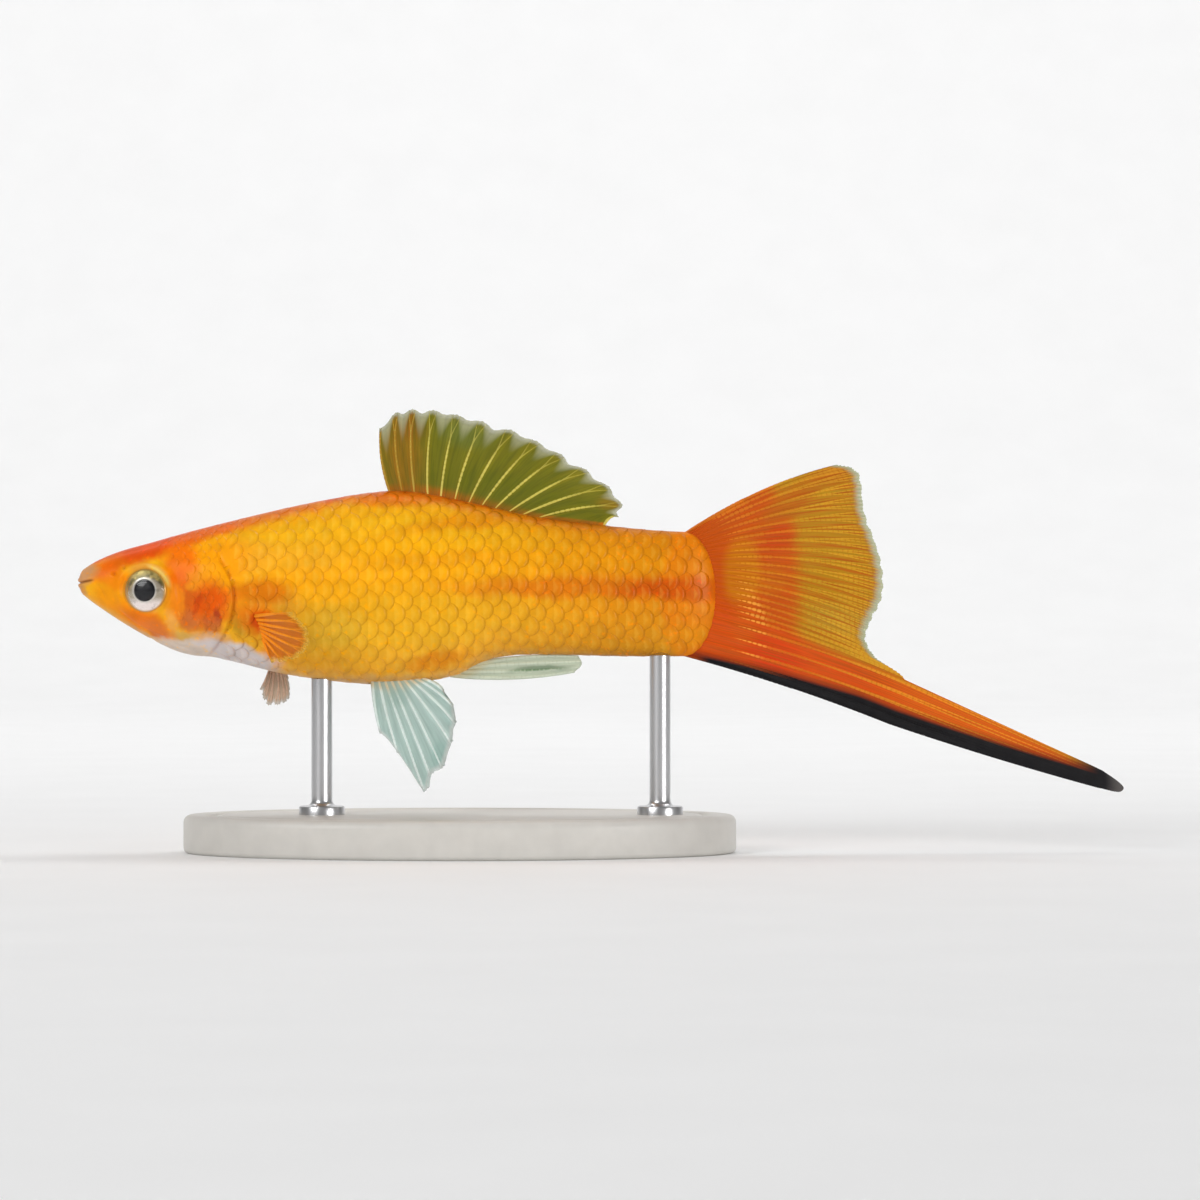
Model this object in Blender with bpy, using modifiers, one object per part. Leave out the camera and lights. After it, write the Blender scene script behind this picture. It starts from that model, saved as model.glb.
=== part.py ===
"""Life-size display model of a male swordtail, held over a plain oval base by two rods.

Metres, +Z up. The head points towards -X and the sword towards +X. The origin lies on the surface that
the base stands on, under the middle of the length from snout to sword tip.

Places on the fish are given as (distance behind the snout, height above the body axis). The body axis is
the level line through the middle of the eyes. The fish's left side faces -Y.
"""

import math
from collections import namedtuple

import bmesh
import bpy
from mathutils import Matrix, Vector

MM = 0.001

# Driving sizes
TOTAL_LENGTH = 109.8 * MM  # snout to tip of sword
STANDARD_LENGTH = 67.0 * MM  # snout to end of tail stalk
AXIS_HEIGHT = 27.5 * MM  # body axis above the surface under the base
GAP = 0.3 * MM  # between two nodes that meet

# Side outline and plan of the body: distance behind the snout, then height or half width, in millimetres
BACK = (
    (0.0, 1.9), (1.8, 3.05), (4.3, 4.1), (7.5, 5.0), (13.8, 6.8), (20.0, 8.35), (26.4, 9.7), (32.0, 10.5),
    (35.5, 10.4), (41.0, 9.35), (47.4, 7.95), (53.7, 7.1), (60.0, 6.45), (64.0, 6.25), (68.0, 6.2),
)
BELLY = (
    (0.0, -0.1), (1.8, -1.5), (5.4, -3.85), (9.6, -6.1), (12.0, -6.85), (14.0, -7.05), (16.0, -7.5),
    (22.0, -8.95), (30.0, -9.9), (35.0, -9.75), (39.5, -9.0), (42.6, -7.5), (45.5, -6.9), (50.5, -6.85),
    (57.0, -7.0), (68.0, -7.0),
)
HALF_WIDTH = (
    (0.0, 1.25), (2.0, 2.05), (5.0, 3.05), (7.5, 3.65), (12.0, 4.35), (18.0, 4.85), (27.0, 5.2), (34.0, 5.05),
    (42.0, 4.2), (50.0, 3.2), (57.0, 2.5), (62.0, 1.95), (65.0, 1.5), (68.0, 1.1),
)
SNOUT_CAP = 0.5 * MM  # length over which the snout rounds off
SNOUT_CAP_TURNS = (25, 50, 70)  # where its rings lie, in degrees round the cap
TAIL_CAP = 3.4 * MM  # length over which the tail stalk's end rounds off
TAIL_CAP_TURNS = (14, 28, 42, 56, 68, 80)
BACK_FULLNESS = 0.88  # exponent of the section above the flank: 1 is an ellipse, less is fuller
BELLY_FULLNESS = 0.94

# Lines that part the body, in side view, in millimetres
GILL_LINE = (
    (16.6, 10.0), (15.4, 7.0), (14.9, 5.0), (15.0, 3.3), (15.9, 1.8), (16.5, 0.0), (16.5, -1.8), (16.0, -3.6),
    (15.1, -5.2), (14.0, -6.4), (13.2, -7.2), (12.4, -9.5),
)
MOUTH_LINE = ((-1.5, 0.5), (0.0, 0.78), (1.6, 1.1), (2.2, 0.4), (3.0, -0.9), (3.7, -2.3), (4.6, -4.2))
STALK_LINE = ((57.9, 12.0), (57.6, 5.0), (57.5, 0.0), (57.6, -5.0), (57.9, -12.0))
PARTING_REACH = 20.0 * MM  # how far the parting blocks reach sideways past the body
PARTING_HEIGHT = 14.0  # and up and down
OVERREACH = 1.5 * MM  # how far a piece is made past the place where it is cut
HEAD_CUT = -6.0  # a parting line in front of the snout
TAIL_CUT = 80.0  # and one behind the tail stalk
TORSO_LENGTH = (10.0 * MM, 59.5 * MM)  # before it is parted
STALK_START = 56.0 * MM

# Gill cover: a swelling that ends in a step at the gill line
COVER_RISE = 0.35 * MM
COVER_START = 9.0 * MM
COVER_FULL = 14.5 * MM
COVER_TOP = 4.2 * MM
COVER_BOTTOM = -7.4 * MM
COVER_FADE = 1.6 * MM

# Eyes
EYE_X = 7.3 * MM
EYE_Z = 0.0 * MM
EYE_RADIUS = 2.26 * MM
PUPIL_RADIUS = 1.05 * MM
EYE_SINK = 0.25 * MM  # rim of the eye below the side of the head
EYE_DEPTH = 1.5 * MM  # rim to back of the eye
IRIS_RISE = 0.45 * MM
PUPIL_RISE = 0.7 * MM
EYE_YAW = math.radians(12)  # towards the snout
EYE_STEPS = 24
SOCKET_STEPS = 28
ORBIT_RIM = 0.22 * MM
ORBIT_RADIUS = 2.85 * MM
ORBIT_SPREAD = 0.5 * MM

# Lips and nostrils
LIP_RADIUS = 0.27 * MM
LIP_CORNER = 1.5 * MM  # mouth corner behind the snout
LIP_SPACING = 0.3 * MM  # each lip's middle from the mouth line
LIP_SINK = 0.1 * MM
LIP_BEHIND = 0.2 * MM  # a lip's middle behind the snout's tip
LIP_CORNER_SHARE = 0.6  # a lip's thickness at its corner, as a share of that in front
CHIN_BLOCK = ((4.6, -9.0), (-3.0, -9.0))  # lower corners of the block that holds the lower jaw
NOSTRILS = ((3.9, 1.75), (5.0, 2.35))
NOSTRIL_RADIUS = 0.32 * MM
NOSTRIL_STEPS = 10

# Fins
MEMBRANE = 0.5 * MM
FIN_TIP = 0.36 * MM
EDGE_START = 0.75  # share of a ray's length from which a fin thins to its margin
RAY_FOOT = 0.27  # half width of a ridge, as a share of the spacing of the rays
FOOT_CUT = 0.4  # how far the margin is cut back at a ridge's foot, as a share of the scallop

# rays: ridges across the fin; rows: points along a ray; ridge: its rise over both faces; scallop: cut
# of the margin between rays
Make = namedtuple("Make", "rays rows ridge scallop")
FINS = {
    "dorsal_fin": Make(13, 6, 0.5 * MM, 0.5 * MM),
    "caudal_fin": Make(19, 6, 0.45 * MM, 0.3 * MM),
    "sword": Make(5, 8, 0.45 * MM, 0.0),
    "gonopodium": Make(3, 7, 0.5 * MM, 0.0),
    "pelvic_fin": Make(6, 6, 0.4 * MM, 0.35 * MM),
    "pectoral_fin": Make(8, 5, 0.35 * MM, 0.3 * MM),
}

# Stand
BASE_LENGTH = 58.0 * MM
BASE_WIDTH = 32.0 * MM
BASE_THICKNESS = 4.0 * MM
BASE_MIDDLE = 40.0 * MM  # behind the snout
BASE_EDGE = 0.8 * MM
BASE_STEPS = 48
ROD_RADIUS = 1.1 * MM
ROD_FOOT_RADIUS = 2.4 * MM
ROD_FOOT_HEIGHT = 0.9 * MM
ROD_FILLET = 0.6 * MM
ROD_STEPS = 20
RODS = {"stand_rod_front": 25.5 * MM, "stand_rod_rear": 61.0 * MM}

# Fineness of the meshes
HEAD_STEP = 0.6 * MM
TRUNK_STEP = 1.5 * MM
ROUND_HEAD = 36
ROUND_TRUNK = 32
GILL_POINTS = 26

COLOURS = {
    "body_orange": ((0.93, 0.55, 0.06), 0.35),
    "fin_olive": ((0.62, 0.50, 0.08), 0.4),
    "fin_orange": ((0.90, 0.33, 0.03), 0.4),
    "fin_pale": ((0.70, 0.82, 0.78), 0.4),
    "eye_silver": ((0.78, 0.76, 0.70), 0.15),
    "base_white": ((0.82, 0.82, 0.80), 0.45),
    "rod_steel": ((0.62, 0.63, 0.65), 0.25),
}


# Scene


def clear_scene():
    """Removes what the startup file holds."""
    for thing in list(bpy.data.objects):
        bpy.data.objects.remove(thing)


def new_collection(name):
    """A collection linked to the scene."""
    made = bpy.data.collections.new(name)
    bpy.context.scene.collection.children.link(made)
    return made


def new_materials():
    """One Principled material for each finish."""
    made = {}
    for name, (colour, roughness) in COLOURS.items():
        material = bpy.data.materials.new(name)
        material.use_nodes = True
        shader = material.node_tree.nodes["Principled BSDF"]
        shader.inputs["Base Color"].default_value = (*colour, 1.0)
        shader.inputs["Roughness"].default_value = roughness
        shader.inputs["Metallic"].default_value = 1.0 if name == "rod_steel" else 0.0
        made[name] = material
    return made


def place(x, y, z):
    """A point of the fish, given from the snout and the body axis, in the model's frame."""
    return Vector((x - TOTAL_LENGTH / 2, y, z + AXIS_HEIGHT))


def object_from(bm, name, collection):
    """The bmesh as a named object with faces that point out."""
    bmesh.ops.recalc_face_normals(bm, faces=bm.faces)
    mesh = bpy.data.meshes.new(name)
    bm.to_mesh(mesh)
    bm.free()
    made = bpy.data.objects.new(name, mesh)
    collection.objects.link(made)
    return made


def turned(name, profile, steps, collection):
    """A solid turned about Z from a profile of (radius, height) points that runs down its outer side."""
    bm = bmesh.new()
    verts = [bm.verts.new((radius, 0, height)) for radius, height in profile]
    for above, below in zip(verts, verts[1:]):
        bm.edges.new((above, below))
    mesh = bpy.data.meshes.new(name)
    bm.to_mesh(mesh)
    bm.free()
    made = bpy.data.objects.new(name, mesh)
    collection.objects.link(made)
    screw = made.modifiers.new("turned", "SCREW")
    screw.steps = screw.render_steps = steps
    screw.use_merge_vertices = True
    screw.merge_threshold = 0.01 * MM
    return made


def loft(name, rings, collection):
    """A closed surface through rings of equal count; a ring of one point closes an end."""
    bm = bmesh.new()
    rows = [[bm.verts.new(point) for point in ring] for ring in rings]
    for here, there in zip(rows, rows[1:]):
        count = max(len(here), len(there))
        for i in range(count):
            j = (i + 1) % count
            if len(here) == 1:
                bm.faces.new((here[0], there[i], there[j]))
            elif len(there) == 1:
                bm.faces.new((here[i], there[0], here[j]))
            else:
                bm.faces.new((here[i], there[i], there[j], here[j]))
    return object_from(bm, name, collection)


def baked(thing):
    """The object with its modifiers applied, keeping only its largest closed surface."""
    bpy.context.view_layer.update()
    graph = bpy.context.evaluated_depsgraph_get()
    mesh = bpy.data.meshes.new_from_object(thing.evaluated_get(graph))
    thing.modifiers.clear()
    thing.data = mesh
    bm = bmesh.new()
    bm.from_mesh(mesh)
    loose = set(bm.verts)
    bodies = []
    while loose:
        body = {loose.pop()}
        edge_of_body = set(body)
        while edge_of_body:
            near = {edge.other_vert(v) for v in edge_of_body for edge in v.link_edges}
            edge_of_body = near - body
            body |= edge_of_body
        loose -= body
        bodies.append(body)
    largest = max(bodies, key=len)
    bmesh.ops.delete(bm, geom=[v for v in bm.verts if v not in largest], context="VERTS")
    bm.to_mesh(mesh)
    bm.free()
    return thing


def boolean(thing, operation, other):
    """Adds a Boolean with one object, or with a collection of them."""
    modifier = thing.modifiers.new(operation.lower(), "BOOLEAN")
    modifier.operation = operation
    modifier.solver = "EXACT"
    if isinstance(other, bpy.types.Collection):
        modifier.operand_type = "COLLECTION"
        modifier.collection = other
    else:
        modifier.object = other
    return modifier


def fuse(thing, pieces):
    """Joins closed pieces to the object in one union, applies it and removes the pieces."""
    joined = bpy.data.collections.new(thing.name + "_pieces")
    for piece in pieces:
        for holder in list(piece.users_collection):
            holder.objects.unlink(piece)
        joined.objects.link(piece)
    bpy.context.scene.collection.children.link(joined)
    boolean(thing, "UNION", joined)
    baked(thing)
    for piece in list(joined.objects):
        bpy.data.objects.remove(piece)
    bpy.data.collections.remove(joined)
    return thing


def finish(thing, material, smooth=True):
    """Gives a node its one material and its shading."""
    thing.data.materials.clear()
    thing.data.materials.append(material)
    if smooth:
        thing.data.shade_smooth()
        thing.data.set_sharp_from_angle(angle=math.radians(40))
    return thing


# Curves through stations


def along(stations, at):
    """Smooth curve through (distance, value) stations in millimetres, read at a distance in metres."""
    xs = [s[0] * MM for s in stations]
    ys = [s[1] * MM for s in stations]
    at = min(max(at, xs[0]), xs[-1])
    i = max(k for k in range(len(xs) - 1) if xs[k] <= at)
    slopes = []
    for k in (i, i + 1):
        low, high = max(k - 1, 0), min(k + 1, len(xs) - 1)
        slopes.append((ys[high] - ys[low]) / (xs[high] - xs[low]))
    span = xs[i + 1] - xs[i]
    t = (at - xs[i]) / span
    return (
        ys[i] * (1 + 2 * t) * (1 - t) ** 2
        + slopes[0] * span * t * (1 - t) ** 2
        + ys[i + 1] * t * t * (3 - 2 * t)
        + slopes[1] * span * t * t * (t - 1)
    )


def spread(keys, u):
    """Smooth curve through evenly spaced key points, read at u from 0 to 1."""
    last = len(keys) - 1
    i = min(int(u * last), last - 1)
    t = u * last - i
    before, here, there, after = (Vector(keys[min(max(i + k, 0), last)]) for k in (-1, 0, 1, 2))
    return 0.5 * (
        2 * here
        + (there - before) * t
        + (2 * before - 5 * here + 4 * there - after) * t * t
        + (3 * here - before - 3 * there + after) * t**3
    )


def ramp(low, high, at):
    """Rises smoothly from 0 at low to 1 at high."""
    t = min(max((at - low) / (high - low), 0.0), 1.0)
    return t * t * (3 - 2 * t)


# Body surface


def end_factor(x, grow):
    """How far the section has closed at either end: 0 at the tip, 1 where it is full."""
    front = min(max((x + grow) / (SNOUT_CAP + grow), 0.0), 1.0)
    tail_start = STANDARD_LENGTH - TAIL_CAP
    rear = min(max((x - tail_start) / (TAIL_CAP + grow), 0.0), 1.0)
    return math.sqrt(1 - (1 - front) ** 2) * math.sqrt(1 - rear**2)


def middle(x):
    """Height of the widest part of the section."""
    return (along(BACK, x) + along(BELLY, x)) / 2


def swelling(x, z, covered):
    """How far the head's side stands out for the orbit's rim and, on the head itself, the gill cover."""
    from_eye = math.hypot(x - EYE_X, z - EYE_Z)
    out = ORBIT_RIM * math.exp(-(((from_eye - ORBIT_RADIUS) / ORBIT_SPREAD) ** 2))
    if covered:
        under = ramp(COVER_BOTTOM - COVER_FADE, COVER_BOTTOM, z)
        over = ramp(COVER_TOP - COVER_FADE, COVER_TOP, z)
        out += COVER_RISE * ramp(COVER_START, COVER_FULL, x) * under * (1 - over)
    return out


def body_point(x, turn, covered=False, grow=0.0):
    """Point on the skin at distance x, with turn going round from the back by the left flank."""
    factor = end_factor(x, grow)
    side, up = math.sin(turn), math.cos(turn)
    height = along(BACK, x) - middle(x)
    fullness = BACK_FULLNESS if up > 0 else BELLY_FULLNESS
    z = middle(x) + factor * (height + grow) * math.copysign(abs(up) ** fullness, up)
    half = along(HALF_WIDTH, x) + grow
    y = -factor * half * math.copysign(abs(side) ** fullness, side)
    y -= swelling(x, z, covered) * math.copysign(abs(side) ** 2, side) * factor
    return place(x, y, z)


def flank_reach(x, z):
    """Half width of the body at a distance behind the snout and a height."""
    rise = z - middle(x)
    height = along(BACK, x) - middle(x)
    fullness = BACK_FULLNESS if rise > 0 else BELLY_FULLNESS
    up = min(abs(rise) / height, 1.0) ** (1 / fullness)
    return along(HALF_WIDTH, x) * math.sqrt(1 - up * up) ** fullness


def body_length(name, start, end, step, around, collection, covered=False, grow=0.0):
    """A closed length of the body, ready to be parted."""
    snout = start <= 0
    tail = end >= STANDARD_LENGTH
    stations = []
    if snout:
        cap = SNOUT_CAP + grow
        stations += [-grow + cap * (1 - math.cos(math.radians(a))) for a in SNOUT_CAP_TURNS]
        start = -grow + cap
    flat_end = STANDARD_LENGTH - TAIL_CAP if tail else end
    count = round((flat_end - start) / step)
    stations += [start + (flat_end - start) * i / count for i in range(count + 1)]
    if tail:
        cap = TAIL_CAP + grow
        stations += [flat_end + cap * math.sin(math.radians(a)) for a in TAIL_CAP_TURNS]
    turns = [2 * math.pi * i / around for i in range(around)]
    rings = [[body_point(x, turn, covered, grow) for turn in turns] for x in stations]
    first = -grow if snout else stations[0]
    last = STANDARD_LENGTH + grow if tail else stations[-1]
    rings.insert(0, [place(first, 0, middle(first))])
    rings.append([place(last, 0, middle(last))])
    return loft(name, rings, collection)


# Parting blocks


def shifted(line, by):
    """A line in side view moved sideways, to the right of its direction."""
    points = [Vector((x * MM, z * MM)) for x, z in line]
    moved = []
    for i, point in enumerate(points):
        ahead = points[min(i + 1, len(points) - 1)] - points[max(i - 1, 0)]
        moved.append(point + Vector((ahead.y, -ahead.x)).normalized() * by)
    return moved


def side_block(name, outline, collection):
    """A block of this side outline that reaches right across the body, for parting it."""
    bm = bmesh.new()
    face = bm.faces.new([bm.verts.new(place(p[0], -PARTING_REACH, p[1])) for p in outline])
    pushed = bmesh.ops.extrude_face_region(bm, geom=[face])
    across = [v for v in pushed["geom"] if isinstance(v, bmesh.types.BMVert)]
    bmesh.ops.translate(bm, verts=across, vec=(0, 2 * PARTING_REACH, 0))
    block = object_from(bm, name, collection)
    block.hide_render = True
    block.display_type = "WIRE"
    return block


def region(name, front_line, rear_line, collection):
    """The block between two parting lines that run from top to bottom, each half a gap away."""
    top_to_bottom = shifted(front_line, -GAP / 2)
    bottom_to_top = shifted(rear_line, GAP / 2)[::-1]
    return side_block(name, top_to_bottom + bottom_to_top, collection)


def rounded(line, points):
    """The smooth curve through a line's points, read at an even count of points."""
    return [tuple(spread(line, i / (points - 1))) for i in range(points)]


def upright(at):
    """A plain parting line across the whole body at a distance in millimetres."""
    return ((at, PARTING_HEIGHT), (at, 0.0), (at, -PARTING_HEIGHT))


# Head


def lip(name, side_of_line, collection):
    """One lip: a round cord that follows the mouth from corner to corner and thins towards them."""
    lean = (MOUTH_LINE[2][1] - MOUTH_LINE[1][1]) / (MOUTH_LINE[2][0] - MOUTH_LINE[1][0])
    turns = [math.radians(a) for a in range(-90, 91, 15)]
    curve = bpy.data.curves.new(name, "CURVE")
    curve.dimensions = "3D"
    curve.bevel_depth = LIP_RADIUS
    curve.bevel_resolution = 2
    curve.use_fill_caps = True
    spline = curve.splines.new("POLY")
    spline.points.add(len(turns) - 1)
    for point, turn in zip(spline.points, turns):
        x = LIP_CORNER * (1 - math.cos(turn)) + LIP_BEHIND
        z = MOUTH_LINE[1][1] * MM + lean * x + side_of_line * LIP_SPACING
        y = (flank_reach(LIP_CORNER, z) - LIP_SINK) * math.sin(turn)
        point.co = (*place(x, y, z), 1.0)
        point.radius = LIP_CORNER_SHARE + (1 - LIP_CORNER_SHARE) * math.cos(turn)
    holder = bpy.data.objects.new(name + "_curve", curve)
    collection.objects.link(holder)
    bpy.context.view_layer.update()
    graph = bpy.context.evaluated_depsgraph_get()
    mesh = bpy.data.meshes.new_from_object(holder.evaluated_get(graph))
    bm = bmesh.new()
    bm.from_mesh(mesh)
    bmesh.ops.remove_doubles(bm, verts=bm.verts, dist=0.01 * MM)
    bpy.data.objects.remove(holder)
    return object_from(bm, name, collection)


def ball(name, centre, radii, turn, segments, collection):
    """A round cutter: a sphere stretched to three radii and turned about Z."""
    bm = bmesh.new()
    shape = Matrix.Translation(centre) @ Matrix.Rotation(turn, 4, "Z") @ Matrix.Diagonal((*radii, 1.0))
    bmesh.ops.create_uvsphere(bm, u_segments=segments, v_segments=segments // 2, radius=1.0, matrix=shape)
    made = object_from(bm, name, collection)
    made.hide_render = True
    made.display_type = "WIRE"
    return made


def eye_frame(side):
    """Matrix of an eye: its rim's middle at the origin and its axis along +Z."""
    x = EYE_X
    y = side * (along(HALF_WIDTH, x) - EYE_SINK)
    axis = Vector((-math.sin(EYE_YAW), side * math.cos(EYE_YAW), 0))
    across = Vector((axis.y, -axis.x, 0)).normalized()
    turned = Matrix((across, axis.cross(across), axis)).transposed().to_4x4()
    return Matrix.Translation(place(x, y, EYE_Z)) @ turned


def eye(name, side, collection):
    """One eye: a turned solid with a bowl behind the rim, a sloping iris and a domed pupil."""
    profile = [(0.0, PUPIL_RISE)]
    profile += [(PUPIL_RADIUS * 0.6, PUPIL_RISE - 0.05 * MM), (PUPIL_RADIUS, IRIS_RISE + 0.05 * MM)]
    profile += [(PUPIL_RADIUS * 1.12, IRIS_RISE - 0.03 * MM), (EYE_RADIUS * 0.75, IRIS_RISE * 0.62)]
    for a in range(0, 90, 22):
        turn = math.radians(a)
        profile.append((EYE_RADIUS * math.cos(turn), -EYE_DEPTH * math.sin(turn)))
    profile.append((0.0, -EYE_DEPTH))
    made = turned(name, profile, EYE_STEPS, collection)
    made.matrix_world = eye_frame(side)
    return made


def head_pieces(parts, cutters):
    """Head and lower jaw, cut from one form with lips, sockets and nostrils."""
    reach = max(x for x, z in GILL_LINE) * MM + OVERREACH
    whole = body_length("head", 0, reach, HEAD_STEP, ROUND_HEAD, parts, covered=True)
    lips = [lip("upper_lip", 1, cutters), lip("lower_lip", -1, cutters)]
    fuse(whole, lips)
    for side, word in ((-1, "left"), (1, "right")):
        frame = eye_frame(side)
        grown = (EYE_RADIUS + GAP, EYE_DEPTH + GAP, EYE_RADIUS + GAP)
        turn = math.atan2(frame.col[2][1], frame.col[2][0]) - math.pi / 2
        socket = ball(f"socket_{word}", frame.translation, grown, turn, SOCKET_STEPS, cutters)
        boolean(whole, "DIFFERENCE", socket)
        for i, (x, z) in enumerate(NOSTRILS):
            centre = place(x * MM, side * flank_reach(x * MM, z * MM), z * MM)
            size = (NOSTRIL_RADIUS,) * 3
            nostril = ball(f"nostril_{word}_{i}", centre, size, 0, NOSTRIL_STEPS, cutters)
            boolean(whole, "DIFFERENCE", nostril)
    gill_curve = rounded(GILL_LINE, GILL_POINTS)
    boolean(whole, "INTERSECT", region("head_region", upright(HEAD_CUT), gill_curve, cutters))
    baked(whole)
    jaw = bpy.data.objects.new("lower_jaw", whole.data.copy())
    parts.objects.link(jaw)
    for thing, operation, by in ((whole, "DIFFERENCE", -GAP / 2), (jaw, "INTERSECT", GAP / 2)):
        outline = shifted(MOUTH_LINE, by) + [Vector(corner) * MM for corner in CHIN_BLOCK]
        boolean(thing, operation, side_block(thing.name + "_mouth_block", outline, cutters))
        baked(thing)
    return whole, jaw


# Fins


def free_margin(u):
    """A margin that is free, and so thin and scalloped, all the way across the fin."""
    return 1.0


def fin(name, make, surface, collection, margin=free_margin):
    """A membrane with one raised ridge for each ray.

    surface gives the point at u across the fin and v out along the ray. Each ray takes three columns, its
    crest and a foot on either side. At a foot the free margin is cut back, so the rays' tips stand out.
    """
    rows, ridge = make.rows, make.ridge
    last = make.rays - 1
    columns = []
    for i in range(make.rays):
        if i:
            columns.append(((i - RAY_FOOT) / last, 0.0, FOOT_CUT))
        columns.append((i / last, 1.0, 0.0))
        if i < last:
            columns.append(((i + RAY_FOOT) / last, 0.0, FOOT_CUT))
    bm = bmesh.new()
    bmesh.ops.create_grid(bm, x_segments=len(columns) - 1, y_segments=rows - 1, size=0.5)
    bmesh.ops.triangulate(bm, faces=bm.faces, quad_method="FIXED")
    weights = {}
    for vert in bm.verts:
        u, crest, cut = columns[round((vert.co.x + 0.5) * (len(columns) - 1))]
        v = round((vert.co.y + 0.5) * (rows - 1)) / (rows - 1)
        length = (surface(u, 1.0) - surface(u, 0.0)).length
        vert.co = surface(u, v * (1 - cut * make.scallop * margin(u) / length))
        edge = margin(u) * ramp(EDGE_START, 1.0, v)
        weights[vert.index] = MEMBRANE + (FIN_TIP - MEMBRANE) * edge + crest * ridge * (1 - edge)
    made = object_from(bm, name, collection)
    thickest = MEMBRANE + ridge
    group = made.vertex_groups.new(name="thickness")
    for index, thickness in weights.items():
        group.add([index], thickness / thickest, "REPLACE")
    solid = made.modifiers.new("thickness", "SOLIDIFY")
    solid.thickness = thickest
    solid.offset = 0.0
    solid.vertex_group = group.name
    return made


def between(root, tip, v, bow=Vector((0, 0, 0))):
    """Point v of the way along a ray, which bows out by bow at its middle."""
    return root.lerp(tip, v) + bow * (4 * v * (1 - v))


DORSAL_ROOTS = ((32.6, 0), (34.9, 0), (37.9, 0), (41.2, 0), (44.4, 0), (47.6, 0), (51.0, 0), (54.9, 0))
DORSAL_TIPS = (
    (31.5, 16.6), (34.0, 19.1), (38.7, 19.1), (43.4, 17.6), (48.2, 15.5), (52.7, 13.3), (56.4, 10.9),
    (57.1, 8.7),
)
DORSAL_WAVE = 0.45 * MM
DORSAL_WAVES = 1.1  # waves across the fin
DORSAL_BOW = 0.35 * MM


def dorsal_surface(u, v):
    """Dorsal fin: thirteen rays that lean back more and more, with a light wave."""
    x = spread(DORSAL_ROOTS, u).x * MM
    root = place(x, 0, along(BACK, x) + GAP)
    end = spread(DORSAL_TIPS, u) * MM
    tip = place(end.x, DORSAL_WAVE * math.sin(2 * math.pi * DORSAL_WAVES * u), end.y)
    bow = Vector((u - 1, 0, u)) * DORSAL_BOW
    return between(root, tip, v, bow)


CAUDAL_TIPS = (
    (80.7, 13.4), (82.0, 12.0), (82.4, 8.6), (83.5, 5.4), (84.4, 2.3), (84.3, -0.8), (83.2, -3.1),
    (82.6, -5.0), (83.7, -7.1), (86.7, -9.35), (85.95, -11.65), (85.2, -13.95),
)
# Where the ray of each tip leaves the end of the tail stalk, in degrees round from its middle
CAUDAL_TURNS = (78, 68, 57, 46, 35, 24, 13, 2, -8, -20, -48, -80)
CAUDAL_BOW = 0.9 * MM
FAN_SHARE = (0.72, 0.8)  # across the fin, where the fan's free margin gives way to the sword
TAIL_SWAY = 1.3 * MM
SWAY_LENGTH = 60.0 * MM
TAIL_RIPPLE = 0.3 * MM
RIPPLE_WIDTH = 15.0 * MM  # from one crest to the next
RIPPLE_GROWS = (0.0, 12.0 * MM)  # behind the tail stalk
RIPPLE_FADES = (13.0 * MM, 19.0 * MM)


def sway(point):
    """Moves a point of the tail fin or sword sideways, in one long curve with a light ripple near the fan."""
    x = point.x + TOTAL_LENGTH / 2 - STANDARD_LENGTH
    z = point.z - AXIS_HEIGHT
    if x > 0:
        ripple = TAIL_RIPPLE * ramp(*RIPPLE_GROWS, x) * (1 - ramp(*RIPPLE_FADES, x))
        point.y += TAIL_SWAY * (1 - math.cos(math.pi * x / SWAY_LENGTH)) / 2
        point.y += ripple * math.sin(2 * math.pi * z / RIPPLE_WIDTH)
    return point


def caudal_surface(u, v):
    """Tail fin: the fan and the start of the sword, rooted round the end of the tail stalk."""
    turn = math.radians(spread([(turn, 0) for turn in CAUDAL_TURNS], u).x)
    x = STANDARD_LENGTH - TAIL_CAP + (TAIL_CAP + GAP) * math.cos(turn)
    height = (along(BACK, x) - middle(x) + GAP) * math.sin(turn)
    root = place(x, 0, middle(x) + height)
    end = spread(CAUDAL_TIPS, u) * MM
    bow = Vector((0, 0, CAUDAL_BOW * (1 - 0.75 * u)))
    return sway(between(root, place(end.x, 0, end.y), v, bow))


def caudal_margin(u):
    """The fan's margin is free as far as the sword, which goes on from the lowest rays at full thickness."""
    return 1 - ramp(*FAN_SHARE, u)


SWORD_ROOTS = ((86.95, -9.45), (85.45, -14.05))
SWORD_TIPS = ((107.5, -18.9), (109.1, -20.0), (109.8, -20.75), (109.3, -21.2), (107.9, -20.95))
SWORD_BOW = 0.15 * MM


def sword_surface(u, v):
    """Sword: the long lower rays of the tail fin, tapering to a narrow round tip."""
    top, bottom = (Vector(p) * MM for p in SWORD_ROOTS)
    start = top.lerp(bottom, u)
    end = spread(SWORD_TIPS, u) * MM
    bow = Vector((0, 0, SWORD_BOW))
    return sway(between(place(start.x, 0, start.y), place(end.x, 0, end.y), v, bow))


PECTORAL_ROOTS = ((18.8, -2.6), (19.7, -5.4))
PECTORAL_SINK = 0.6 * MM
# Tips of the left and right pectoral fins: distance, height and reach out from the flank
PECTORAL_TIPS = {
    "left": (
        (23.0, -2.3, 5.0), (24.7, -4.0, 6.3), (24.7, -5.8, 6.2), (23.1, -7.2, 5.0), (20.7, -7.5, 3.2),
    ),
    "right": (
        (18.8, -10.4, 3.4), (19.4, -12.1, 3.8), (21.0, -12.0, 3.6), (21.9, -11.2, 3.0), (21.8, -9.2, 2.0),
    ),
}
PECTORAL_BOWS = {"left": -0.5 * MM, "right": 1.1 * MM}  # backward, at the middle of the first ray
PECTORAL_CUP = 0.5 * MM  # outward, at the middle of each ray


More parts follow.
